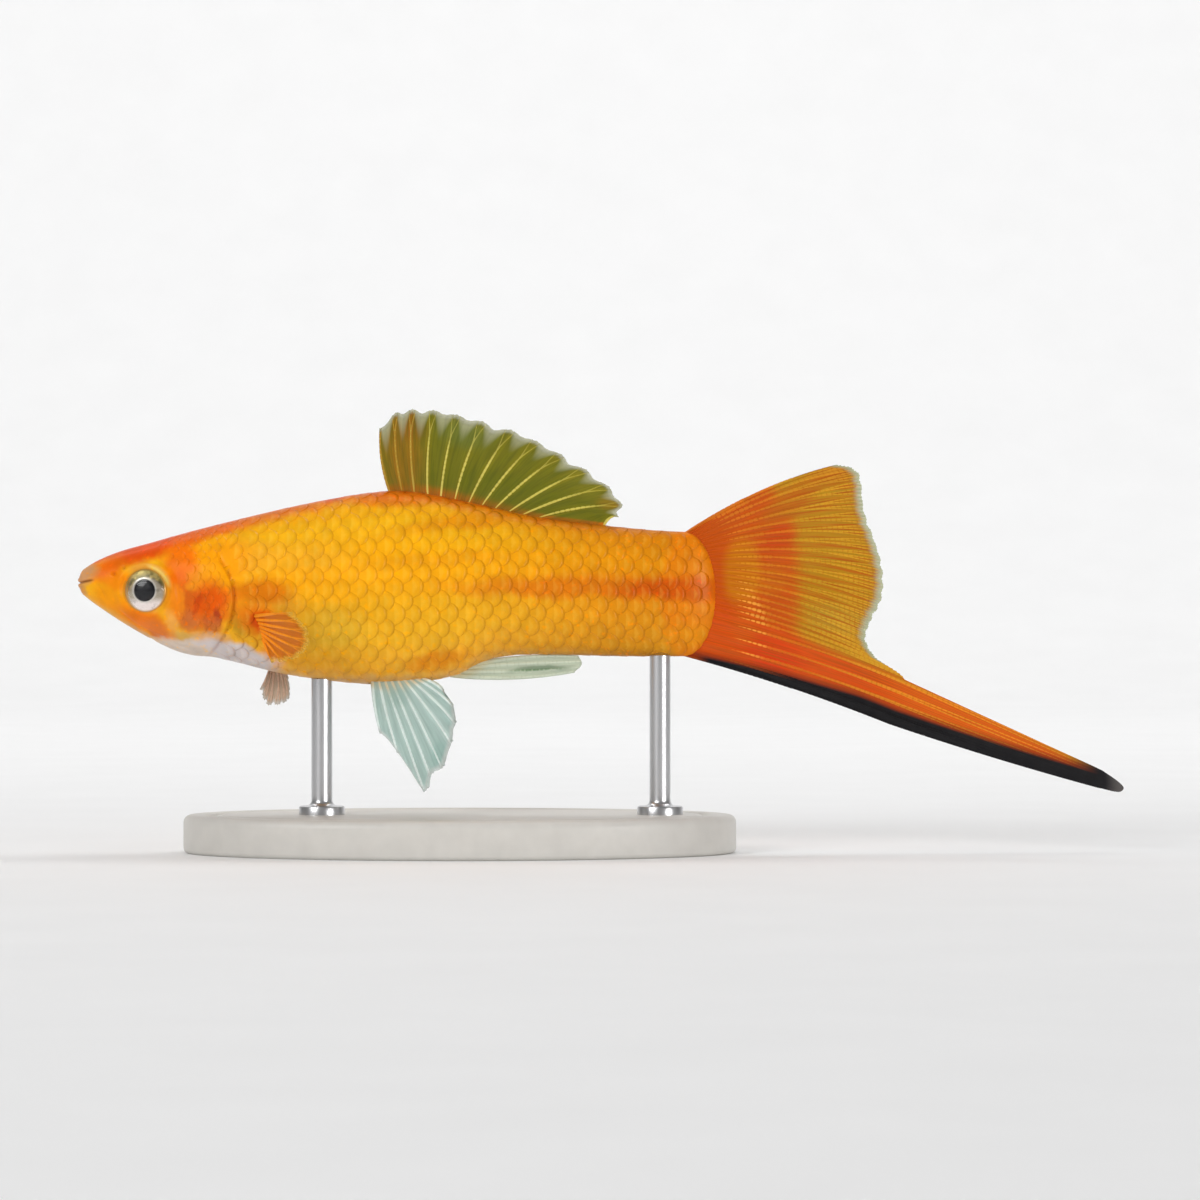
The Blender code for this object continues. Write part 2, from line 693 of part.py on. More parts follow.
def pectoral_surface(word):
    """Surface of one pectoral fin, rooted on the flank just behind the gill cover."""
    side = -1 if word == "left" else 1

    def surface(u, v):
        x, z = (Vector(PECTORAL_ROOTS[0]).lerp(Vector(PECTORAL_ROOTS[1]), u)) * MM
        reach = flank_reach(x, z)
        root = place(x, side * (reach - PECTORAL_SINK), z)
        tip_x, tip_z, out = spread(PECTORAL_TIPS[word], u) * MM
        tip = place(tip_x, side * (reach + out), tip_z)
        bow = Vector((PECTORAL_BOWS[word] * (1 - u), side * PECTORAL_CUP, 0))
        return between(root, tip, v, bow)

    return surface


PELVIC_ROOTS = (30.9 * MM, 36.4 * MM)
PELVIC_TIPS = ((32.5, -15.6), (36.5, -20.8), (38.3, -18.6), (39.1, -16.3), (39.4, -13.8), (38.4, -11.5))
PELVIC_OFFSET = 1.3 * MM  # root from the middle of the belly
PELVIC_SPLAY = 0.26  # sideways for each unit down
PELVIC_BOWS = (-0.55 * MM, 0.4 * MM)  # backward, at the middle of the first and last rays
PELVIC_CUP = 0.3 * MM
PELVIC_CLEAR = 0.06 * MM  # more than the gap, because a ridge stands in from the root's middle


def pelvic_surface(side):
    """Surface of one pelvic fin: a short first ray, a long second one and a fan behind."""

    def surface(u, v):
        x = PELVIC_ROOTS[0] + (PELVIC_ROOTS[1] - PELVIC_ROOTS[0]) * u
        height = middle(x) - along(BELLY, x)
        off_middle = (PELVIC_OFFSET / along(HALF_WIDTH, x)) ** (1 / BELLY_FULLNESS)
        root_z = middle(x) - height * math.sqrt(1 - off_middle**2) ** BELLY_FULLNESS - GAP - PELVIC_CLEAR
        root = place(x, side * PELVIC_OFFSET, root_z)
        end = spread(PELVIC_TIPS, u) * MM
        tip = place(end.x, side * (PELVIC_OFFSET + PELVIC_SPLAY * (root_z - end.y)), end.y)
        bow = Vector((PELVIC_BOWS[0] * (1 - u) + PELVIC_BOWS[1] * u, side * PELVIC_CUP, 0))
        return between(root, tip, v, bow)

    return surface


GONOPODIUM_ROOTS = (42.5 * MM, 39.7 * MM)
GONOPODIUM_TIPS = ((52.0, -7.35), (52.7, -7.75), (51.7, -8.6))
GONOPODIUM_BOWS = (0.3 * MM, -0.45 * MM)  # upward, at the middle of the first and last rays


def gonopodium_surface(u, v):
    """Gonopodium: the male's narrow anal fin, laid back along the tail stalk."""
    x = GONOPODIUM_ROOTS[0] + (GONOPODIUM_ROOTS[1] - GONOPODIUM_ROOTS[0]) * u
    end = spread(GONOPODIUM_TIPS, u) * MM
    root = place(x, 0, along(BELLY, x) - GAP)
    bow = GONOPODIUM_BOWS[0] * (1 - u) + GONOPODIUM_BOWS[1] * u
    return between(root, place(end.x, 0, end.y), v, Vector((0, 0, bow)))


def all_fins(parts, materials, grown):
    """Every fin, in its own node."""
    dorsal = fin("dorsal_fin", FINS["dorsal_fin"], dorsal_surface, parts)
    caudal = fin("caudal_fin", FINS["caudal_fin"], caudal_surface, parts, caudal_margin)
    sword = fin("sword", FINS["sword"], sword_surface, parts)
    gonopodium = fin("gonopodium", FINS["gonopodium"], gonopodium_surface, parts)
    finish(dorsal, materials["fin_olive"])
    finish(caudal, materials["fin_orange"])
    finish(sword, materials["fin_orange"])
    finish(gonopodium, materials["fin_pale"])
    for side, word in ((-1, "left"), (1, "right")):
        pelvic = fin(f"pelvic_fin_{word}", FINS["pelvic_fin"], pelvic_surface(side), parts)
        finish(pelvic, materials["fin_pale"])
        pectoral = fin(f"pectoral_fin_{word}", FINS["pectoral_fin"], pectoral_surface(word), parts)
        boolean(pectoral, "DIFFERENCE", grown)
        finish(baked(pectoral), materials["fin_orange"])


# Stand


def stand_base(parts):
    """Plain oval plate with an eased top edge."""
    bm = bmesh.new()
    middle_of_base = place(BASE_MIDDLE, 0, 0)
    middle_of_base.z = BASE_THICKNESS / 2
    shape = Matrix.Translation(middle_of_base) @ Matrix.Diagonal((BASE_LENGTH / 2, BASE_WIDTH / 2, 1.0, 1.0))
    bmesh.ops.create_cone(
        bm, cap_ends=True, segments=BASE_STEPS, radius1=1, radius2=1, depth=BASE_THICKNESS, matrix=shape
    )
    plate = object_from(bm, "stand_base", parts)
    bevel = plate.modifiers.new("eased edge", "BEVEL")
    bevel.width = BASE_EDGE
    bevel.segments = 2
    bevel.limit_method = "ANGLE"
    bevel.angle_limit = math.radians(60)
    return plate


def stand_rod(name, at, parts, grown):
    """A turned rod with a small foot, cut to the belly that rests on it."""
    bottom = BASE_THICKNESS + GAP
    top = AXIS_HEIGHT + along(BELLY, at) + OVERREACH
    profile = (
        (0.0, top), (ROD_RADIUS, top), (ROD_RADIUS, bottom + ROD_FOOT_HEIGHT + ROD_FILLET),
        (ROD_RADIUS + ROD_FILLET, bottom + ROD_FOOT_HEIGHT),
        (ROD_FOOT_RADIUS, bottom + ROD_FOOT_HEIGHT * 0.7), (ROD_FOOT_RADIUS, bottom), (0.0, bottom),
    )
    rod = turned(name, profile, ROD_STEPS, parts)
    rod.location = (at - TOTAL_LENGTH / 2, 0, 0)
    boolean(rod, "DIFFERENCE", grown)
    return rod


def main():
    """Builds the fish and its stand."""
    clear_scene()
    parts = new_collection("swordtail")
    cutters = new_collection("cutters")
    materials = new_materials()
    grown = body_length("grown_body", 0, STANDARD_LENGTH, TRUNK_STEP, ROUND_TRUNK, cutters, grow=GAP)
    grown.hide_render = True
    grown.display_type = "WIRE"

    for piece in head_pieces(parts, cutters):
        finish(piece, materials["body_orange"])
    torso = body_length("torso", *TORSO_LENGTH, TRUNK_STEP, ROUND_TRUNK, parts)
    gill_curve = rounded(GILL_LINE, GILL_POINTS)
    boolean(torso, "INTERSECT", region("torso_region", gill_curve, STALK_LINE, cutters))
    stalk = body_length("tail_stalk", STALK_START, STANDARD_LENGTH, TRUNK_STEP, ROUND_TRUNK, parts)
    boolean(stalk, "INTERSECT", region("stalk_region", STALK_LINE, upright(TAIL_CUT), cutters))
    for piece in (torso, stalk):
        finish(baked(piece), materials["body_orange"])
    for side, word in ((-1, "left"), (1, "right")):
        finish(eye(f"eye_{word}", side, parts), materials["eye_silver"])

    all_fins(parts, materials, grown)
    finish(stand_base(parts), materials["base_white"], smooth=False)
    for name, at in RODS.items():
        finish(stand_rod(name, at, parts, grown), materials["rod_steel"])


main()
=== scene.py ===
"""Looks of a life-size display model of a male swordtail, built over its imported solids.

Places on the fish are given in millimetres as (x, y, z): behind the snout, across, and above the body
axis, the level line through the middle of the eyes. The fish's left side faces -Y.
"""

import logging
import math
from dataclasses import dataclass
from enum import Enum
from typing import ClassVar

import bmesh
import bpy
import numpy as np
from mathutils import Matrix, Vector


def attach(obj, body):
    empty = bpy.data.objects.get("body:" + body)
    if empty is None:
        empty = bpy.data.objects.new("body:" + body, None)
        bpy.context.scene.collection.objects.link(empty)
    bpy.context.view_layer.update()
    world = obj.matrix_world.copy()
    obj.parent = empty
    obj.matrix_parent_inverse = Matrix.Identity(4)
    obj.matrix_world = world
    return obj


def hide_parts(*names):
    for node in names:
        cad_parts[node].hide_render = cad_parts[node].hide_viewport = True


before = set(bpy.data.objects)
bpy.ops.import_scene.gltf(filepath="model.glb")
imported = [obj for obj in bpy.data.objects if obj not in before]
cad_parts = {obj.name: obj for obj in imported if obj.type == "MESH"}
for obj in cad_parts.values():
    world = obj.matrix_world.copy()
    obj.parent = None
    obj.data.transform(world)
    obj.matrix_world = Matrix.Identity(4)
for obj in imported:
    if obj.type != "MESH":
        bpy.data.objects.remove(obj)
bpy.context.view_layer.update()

SEED = 11
MM = 0.001
TOTAL_LENGTH = 109.8
STANDARD_LENGTH = 67.0
AXIS_HEIGHT = 27.5
BAKE_MAP = "OFBake"
BAKE_PATCH = 0.003  # side of a scale's patch on the bake map
PUPIL_RADIUS = 1.14
GOLD_GLEAM = (1.0, 0.78, 0.42)  # tint of the shine on skin and scales

Array = np.ndarray
Colour = tuple[float, float, float]
Line = tuple[tuple[float, ...], ...]
Socket = bpy.types.NodeSocket
log = logging.getLogger("swordtail")


class Side(Enum):
    """The two sides of the fish, by the sign of Y."""

    LEFT = -1
    RIGHT = 1

    @property
    def word(self) -> str:
        """The side's word in the names of nodes."""
        return self.name.lower()


class FinPart(Enum):
    """What a fin's finish is laid on."""

    WEB = "web"
    RAYS = "rays"


# Curves


def along(stations: Line, at: Array) -> Array:
    """Smooth curve through stations.

    Args:
        stations: pairs of distance and value.
        at: distances to read it at.

    Returns:
        The value at each distance.
    """
    xs, ys = np.array(stations, float).T
    at = np.clip(at, xs[0], xs[-1])
    i = np.clip(np.searchsorted(xs, at, side="right") - 1, 0, len(xs) - 2)
    order = np.arange(len(xs))
    low, high = np.maximum(order - 1, 0), np.minimum(order + 1, len(xs) - 1)
    slopes = (ys[high] - ys[low]) / (xs[high] - xs[low])
    span = xs[i + 1] - xs[i]
    t = (at - xs[i]) / span
    rise = ys[i] * (1 + 2 * t) * (1 - t) ** 2 + ys[i + 1] * t * t * (3 - 2 * t)
    return rise + slopes[i] * span * t * (1 - t) ** 2 + slopes[i + 1] * span * t * t * (t - 1)


def spread(keys: Line, u: Array) -> Array:
    """Smooth curve through evenly spaced key points.

    Args:
        keys: the key points.
        u: places along the curve, from 0 to 1.

    Returns:
        One point for each place.
    """
    points = np.array(keys, float)
    last = len(points) - 1
    u = np.clip(np.asarray(u, float), 0.0, 1.0)
    i = np.minimum((u * last).astype(int), last - 1)
    t = (u * last - i)[..., None]
    before, here, there, after = (points[np.clip(i + k, 0, last)] for k in (-1, 0, 1, 2))
    bend = (2 * before - 5 * here + 4 * there - after) * t * t
    return 0.5 * (2 * here + (there - before) * t + bend + (3 * here - before - 3 * there + after) * t**3)


def ramp(low: float, high: float, at: Array) -> Array:
    """Smooth step.

    Args:
        low: where it is still 0.
        high: where it has reached 1.
        at: where to read it.

    Returns:
        The step's height at each place.
    """
    t = np.clip((at - low) / (high - low), 0.0, 1.0)
    return t * t * (3 - 2 * t)


def bump(distance: Array, width: float) -> Array:
    """A rounded bump, 1 at no distance and almost 0 past twice the width."""
    return np.exp(-((distance / width) ** 2))


def unit(vectors: Array) -> Array:
    """The vectors at length 1."""
    return vectors / np.maximum(np.linalg.norm(vectors, axis=-1, keepdims=True), 1e-12)


def pack(*parts: Array) -> Array:
    """Points from their separate numbers, each an array or one number for all."""
    return np.stack(np.broadcast_arrays(*parts), -1)


def arc(start: int, stop: int, step: int) -> list[tuple[float, float]]:
    """Cosine and sine of evenly spaced angles in degrees, both ends included."""
    turns = [math.radians(degrees) for degrees in range(start, stop + 1, step)]
    return [(math.cos(turn), math.sin(turn)) for turn in turns]


# Meshes


def placed(points: Array) -> Array:
    """Fish millimetres as points of the model's frame, in metres."""
    return (points + np.array((-TOTAL_LENGTH / 2, 0.0, AXIS_HEIGHT))) * MM


def link(thing: bpy.types.Object) -> bpy.types.Object:
    """The object, linked to the scene."""
    bpy.context.scene.collection.objects.link(thing)
    return thing


def mesh_object(
    name: str,
    points: Array,
    faces: list[list[int]],
    values: dict[str, Array] | None = None,
    edges: list[tuple[int, int]] | None = None,
) -> bpy.types.Object:
    """A mesh object.

    Args:
        name: its name.
        points: its vertices, in metres.
        faces: its faces.
        values: named numbers or vectors for each vertex, which materials read.
        edges: its edges, where it has no faces.

    Returns:
        The linked object.
    """
    mesh = bpy.data.meshes.new(name)
    mesh.from_pydata(points.tolist(), edges or [], faces)
    for key, value in (values or {}).items():
        flat = np.asarray(value, np.float32)
        vector = flat.ndim == 2
        made = mesh.attributes.new(key, "FLOAT_VECTOR" if vector else "FLOAT", "POINT")
        made.data.foreach_set("vector" if vector else "value", flat.ravel())
    mesh.validate()
    return link(bpy.data.objects.new(name, mesh))


def smooth(thing: bpy.types.Object, sharp: float = 180.0) -> bpy.types.Object:
    """Shades the object smooth but for edges sharper than an angle in degrees.

    Args:
        thing: the object.
        sharp: the angle.

    Returns:
        The same object.
    """
    thing.data.shade_smooth()
    if sharp < 180.0:
        thing.data.set_sharp_from_angle(angle=math.radians(sharp))
    return thing


def grid_faces(rows: int, columns: int, closed: bool = False) -> Array:
    """Quads of a grid whose points run row by row.

    Args:
        rows: points down the grid.
        columns: points along a row.
        closed: whether the last column joins the first.

    Returns:
        Four indices for each quad.
    """
    wide = columns if closed else columns - 1
    i, j = np.meshgrid(np.arange(rows - 1), np.arange(wide), indexing="ij")
    right = (j + 1) % columns
    quads = (i * columns + j, i * columns + right, (i + 1) * columns + right, (i + 1) * columns + j)
    return pack(*quads).reshape(-1, 4)


def tube_faces(rings: int, steps: int) -> list[list[int]]:
    """Faces of a tube of closed rings that ends in one point at either end.

    Args:
        rings: how many rings it has.
        steps: points of each ring.

    Returns:
        The faces. The two end points' indices follow those of the rings.
    """
    faces = grid_faces(rings, steps, closed=True).tolist()
    first, last = rings * steps, (rings - 1) * steps
    for i in range(steps):
        after = (i + 1) % steps
        faces += [[first, after, i], [first + 1, last + i, last + after]]
    return faces


def walled(points: Array, outward: Array, thickness: Array, quads: Array) -> tuple[Array, Array]:
    """A closed two-sided wall made from an open sheet.

    Args:
        points: the sheet's points.
        outward: directions at the points.
        thickness: the wall's thickness at each point.
        quads: the sheet's faces.

    Returns:
        The wall's points, front ones first, and its faces.
    """
    count = len(points)
    a, b, d = (points[quads[:, k]] for k in (0, 1, 3))
    if np.sum(np.cross(b - a, d - a) * outward[quads[:, 0]]) < 0:
        quads = quads[:, ::-1]
    half = outward * thickness[:, None] / 2
    starts, ends = quads.ravel(), np.roll(quads, -1, axis=1).ravel()
    open_edge = ~np.isin(starts * count + ends, ends * count + starts)
    s, e = starts[open_edge], ends[open_edge]
    rim = np.stack((e, s, s + count, e + count), -1)
    faces = np.vstack((quads, quads[:, ::-1] + count, rim))
    return np.vstack((points + half, points - half)), faces


def turned(profile: Line, steps: int) -> tuple[Array, list[list[int]]]:
    """A closed solid turned about +Z.

    Args:
        profile: (radius, height) pairs from the top of the axis down the outer side and back to it.
        steps: points round the axis.

    Returns:
        The points, and faces that point out.
    """
    inner = np.array(profile[1:-1], float)
    radius, height = inner[:, :1], inner[:, 1:]
    angle = np.arange(steps) * 2 * math.pi / steps
    rings = pack(radius * np.cos(angle), radius * np.sin(angle), height).reshape(-1, 3)
    ends = np.array(((0, 0, profile[0][1]), (0, 0, profile[-1][1])))
    return np.vstack((rings, ends)), [face[::-1] for face in tube_faces(len(inner), steps)]


def corners(thing: bpy.types.Object) -> Array:
    """The vertex at each corner of the object's faces.

    Args:
        thing: the object.

    Returns:
        The vertices' indices, face by face.
    """
    vertex = np.zeros(len(thing.data.loops), np.int32)
    thing.data.loops.foreach_get("vertex_index", vertex)
    return vertex


def lay_map(thing: bpy.types.Object, name: str, places: Array) -> None:
    """Lays a UV map over the object, from the place of each corner."""
    layer = thing.data.uv_layers.new(name=name)
    layer.data.foreach_set("uv", places.astype(np.float32).ravel())


def made_plain(thing: bpy.types.Object) -> bpy.types.Object:
    """Turns what the object's modifiers make into its plain mesh.

    Args:
        thing: the object.

    Returns:
        The same object, without modifiers.
    """
    bpy.context.view_layer.update()
    graph = bpy.context.evaluated_depsgraph_get()
    mesh = bpy.data.meshes.new_from_object(thing.evaluated_get(graph))
    thing.modifiers.clear()
    thing.data = mesh
    return thing


def drop(*things: bpy.types.Object) -> None:
    """Removes helper objects."""
    for thing in things:
        bpy.data.objects.remove(thing)


def hand_over(
    thing: bpy.types.Object, slot: str, *nodes: str, finish: bpy.types.Material | None = None
) -> None:
    """Gives a finished piece to the frame.

    Args:
        thing: the piece.
        slot: the record's material slot; not used.
        nodes: the solids that it stands for.
        finish: its material, where it has none yet.
    """
    if finish:
        thing.data.materials.append(finish)
    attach(thing, "root")
    if nodes:
        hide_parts(*nodes)
    log.info("%s: %d faces", thing.name, len(thing.data.polygons))


# Node trees


class Nodes:
    """Short calls that add nodes to one tree and link them."""

    def __init__(self, tree: bpy.types.NodeTree) -> None:
        """Works on this tree."""
        self.tree = tree

    @staticmethod
    def find(sockets: bpy.types.NodeInputs, key: str | int) -> Socket:
        """The socket with this index, or the one in use with this name.

        Args:
            sockets: a node's sockets.
            key: its index or name.

        Returns:
            The socket.
        """
        if isinstance(key, int):
            return sockets[key]
        return next(socket for socket in sockets if socket.name == key and socket.enabled)

    def feed(self, socket: Socket, value: object) -> None:
        """Links another socket to a socket, or sets its value.

        Args:
            socket: the socket to feed.
            value: a socket, a number or a colour.
        """
        if isinstance(value, bpy.types.NodeSocket):
            self.tree.links.new(value, socket)
        else:
            socket.default_value = value

    def add(self, kind: str, inputs: dict | None = None, **settings: object) -> bpy.types.Node:
        """A new node.

        Args:
            kind: its type.
            inputs: values or sockets for its inputs, by name or index.
            settings: its properties.

        Returns:
            The node.
        """
        node = self.tree.nodes.new(kind)
        for key, value in settings.items():
            setattr(node, key, value)
        for key, value in (inputs or {}).items():
            self.feed(self.find(node.inputs, key), value)
        return node

    def out(self, kind: str, inputs: dict | None = None, key: str | int = 0, **settings: object) -> Socket:
        """The output of a new node."""
        return self.find(self.add(kind, inputs, **settings).outputs, key)

    def math(self, operation: str, a: object, b: object = 0.0, c: object = 0.0) -> Socket:
        """One step of arithmetic."""
        return self.out("ShaderNodeMath", {0: a, 1: b, 2: c}, operation=operation)

    def toned(self, colour: object, value: Socket, low: float, high: float) -> Socket:
        """A colour made darker and lighter by a value."""
        return self.mix(1.0, colour, self.grey(value, low, high), "MULTIPLY")

    def times(self, a: object, b: object) -> Socket:
        """A product."""
        return self.math("MULTIPLY", a, b)

    def plus(self, a: object, b: object) -> Socket:
        """A sum of two numbers."""
        return self.math("ADD", a, b)

    def minus(self, a: object, b: object) -> Socket:
        """A difference."""
        return self.math("SUBTRACT", a, b)

    def length(self, vector: Socket) -> Socket:
        """A vector's length."""
        return self.out("ShaderNodeVectorMath", {0: vector}, "Value", operation="LENGTH")

    def moved(self, vector: Socket, by: object) -> Socket:
        """A vector with another one added."""
        return self.out("ShaderNodeVectorMath", {0: vector, 1: by})

    def scaled(self, vector: Socket, by: Socket) -> Socket:
        """A vector times a number."""
        return self.out("ShaderNodeVectorMath", {0: vector, "Scale": by}, operation="SCALE")

    def rise(self, value: Socket, low: object, high: object) -> Socket:
        """Smooth step from 0 at low to 1 at high, or down where high is lower."""
        inputs = {"Value": value, "From Min": low, "From Max": high}
        return self.out("ShaderNodeMapRange", inputs, interpolation_type="SMOOTHSTEP")

    def fit(self, value: Socket, low: object, high: object) -> Socket:
        """A share from 0 to 1 stretched to run from low to high."""
        return self.out("ShaderNodeMapRange", {"Value": value, "To Min": low, "To Max": high})

    def grey(self, value: Socket, low: float, high: float) -> Socket:
        """A grey from low to high."""
        shade = self.fit(value, low, high)
        return self.joined(shade, shade, shade)

    def mix(self, share: object, a: object, b: object, blend: str = "MIX") -> Socket:
        """A colour between two.

        Args:
            share: of the second colour.
            a: the first colour.
            b: the second one.
            blend: how they are mixed.

        Returns:
            The mixed colour.
        """
        colours = [(*value, 1.0) if isinstance(value, tuple) else value for value in (a, b)]
        inputs = {"Factor": share, "A": colours[0], "B": colours[1]}
        return self.out("ShaderNodeMix", inputs, "Result", data_type="RGBA", blend_type=blend)

    def noise(self, vector: Socket, scale: float, detail: float = 2.0) -> Socket:
        """Soft noise from about 0.3 to 0.7."""
        return self.out("ShaderNodeTexNoise", {"Vector": vector, "Scale": scale, "Detail": detail})

    def number(self, name: str) -> Socket:
        """A named number of the piece's mesh, in a material."""
        return self.out("ShaderNodeAttribute", key="Fac", attribute_name=name)

    def parts(self, vector: Socket) -> tuple[Socket, Socket, Socket]:
        """The three numbers of a vector."""
        return tuple(self.add("ShaderNodeSeparateXYZ", {0: vector}).outputs)

    def joined(self, x: object = 0.0, y: object = 0.0, z: object = 0.0) -> Socket:
        """A vector from three numbers."""
        return self.out("ShaderNodeCombineXYZ", {0: x, 1: y, 2: z})

    def own_place(self) -> Socket:
        """The place on the piece, in metres."""
        return self.out("ShaderNodeTexCoord", key="Object")

    def fish_place(self, wobble: float) -> Socket:
        """The place in side view, in fish millimetres, with edges made a little uneven.

        Args:
            wobble: how far edges move, in millimetres.

        Returns:
            The place, as (x, z).
        """
        place = self.own_place()
        x, _, z = self.parts(place)
        x = self.math("MULTIPLY_ADD", x, 1 / MM, TOTAL_LENGTH / 2)
        z = self.math("MULTIPLY_ADD", z, 1 / MM, -AXIS_HEIGHT)
        away = self.moved(place, (0.05, 0.02, 0.03))
        for scale, share in ((260.0, 1.0), (900.0, 0.5)) if wobble else ():
            reach = wobble * share
            x = self.plus(x, self.fit(self.noise(place, scale), -reach, reach))
            z = self.plus(z, self.fit(self.noise(away, scale), -reach, reach))
        return self.joined(x, z)

    def blend(self, value: Socket, stops: tuple[tuple[float, Colour], ...]) -> Socket:
        """A colour that runs through (place, colour) stops.

        Args:
            value: where to read it.
            stops: its colours.

        Returns:
            The colour there.
        """
        node = self.add("ShaderNodeValToRGB", {0: value})
        band = node.color_ramp
        while len(band.elements) < len(stops):
            band.elements.new(0.5)
        for element, (place, colour) in zip(band.elements, stops):
            element.position = place
            element.color = (*colour, 1.0)
        return node.outputs[0]


@dataclass(frozen=True)
class Mark:
    """A soft patch of colour in side view, in fish millimetres."""

    x: float
    z: float
    long: float
    high: float
    colour: Colour
    strength: float = 1.0
    lean: float = 0.0
    soft: float = 0.3

    def over(self, nodes: Nodes, place: Socket, below: Socket) -> Socket:
        """Lays the patch over a colour.

        Args:
            nodes: the material's nodes.
            place: the place in side view.
            below: the colour under it.

        Returns:
            The colour with the patch.
        """
        inputs = {
            "Vector": place,
            "Location": (self.x, self.z, 0.0),
            "Rotation": (0.0, 0.0, math.radians(self.lean)),
            "Scale": (self.long, self.high, 1.0),
        }
        local = nodes.out("ShaderNodeMapping", inputs, vector_type="TEXTURE")
        mask = nodes.times(nodes.rise(nodes.length(local), 1.0, self.soft), self.strength)
        return nodes.mix(mask, below, self.colour)


@dataclass
class Finish:
    """A material and its main shader. Its gleam is the colour of its reflections."""

    name: str
    gleam: ClassVar[Colour] = (1.0, 1.0, 1.0)

    def start(
        self, roughness: float = 0.4, coat: float = 0.0, coat_roughness: float = 0.1, specular: float = 0.5
    ) -> Nodes:
        """Makes the material.

        Args:
            roughness: of the surface.
            coat: weight of a clear coat.
            coat_roughness: of that coat.
            specular: level of its reflections.

        Returns:
            Its nodes.
        """
        self.material = bpy.data.materials.new(self.name)
        self.material.use_nodes = True
        nodes = Nodes(self.material.node_tree)
        self.shader = self.material.node_tree.nodes["Principled BSDF"]
        values = {
            "Roughness": roughness, "Coat Weight": coat, "Coat Roughness": coat_roughness,
            "Specular IOR Level": specular, "Specular Tint": (*self.gleam, 1.0),
        }
        for name, value in values.items():
            self.shader.inputs[name].default_value = value
        return nodes

    def relief(self, nodes: Nodes, height: Socket, strength: float, depth: float) -> None:
        """Gives the surface a bump.

        Args:
            nodes: the material's nodes.
            height: its height, from 0 to 1.
            strength: of the bump.
            depth: in millimetres.
        """
        inputs = {"Height": height, "Strength": strength, "Distance": depth * MM}
        nodes.feed(self.shader.inputs["Normal"], nodes.out("ShaderNodeBump", inputs))


# Body


@dataclass(frozen=True)
class Crease:
    """A groove along a line in side view, or a ridge where its depth is negative."""

    line: Line
    depth: float
    width: float
    fade: float = 0.8

    def lift(self, x: Array, z: Array) -> Array:
        """How far it moves each place outwards.

        Args:
            x: distances behind the snout.
            z: heights.

        Returns:
            Millimetres outwards.
        """
        line = spread(self.line, np.linspace(0, 1, 70))
        near = np.full(x.shape, 1e9)
        share = np.zeros(x.shape)
        for k, (line_x, line_z) in enumerate(line):
            away = np.hypot(x - line_x, z - line_z)
            closer = away < near
            near[closer] = away[closer]
            share[closer] = k / (len(line) - 1)
        length = np.sum(np.linalg.norm(np.diff(line, axis=0), axis=1))
        from_end = np.minimum(share, 1 - share) * length
        return -self.depth * bump(near, self.width) * ramp(-0.1, self.fade, from_end)


@dataclass(frozen=True)
class Knob:
    """A round rise or pit in side view."""

    x: float
    z: float
    radius: float
    height: float

    def lift(self, x: Array, z: Array) -> Array:
        """How far it moves each place outwards, in millimetres."""
        return self.height * bump(np.hypot(x - self.x, z - self.z), self.radius)


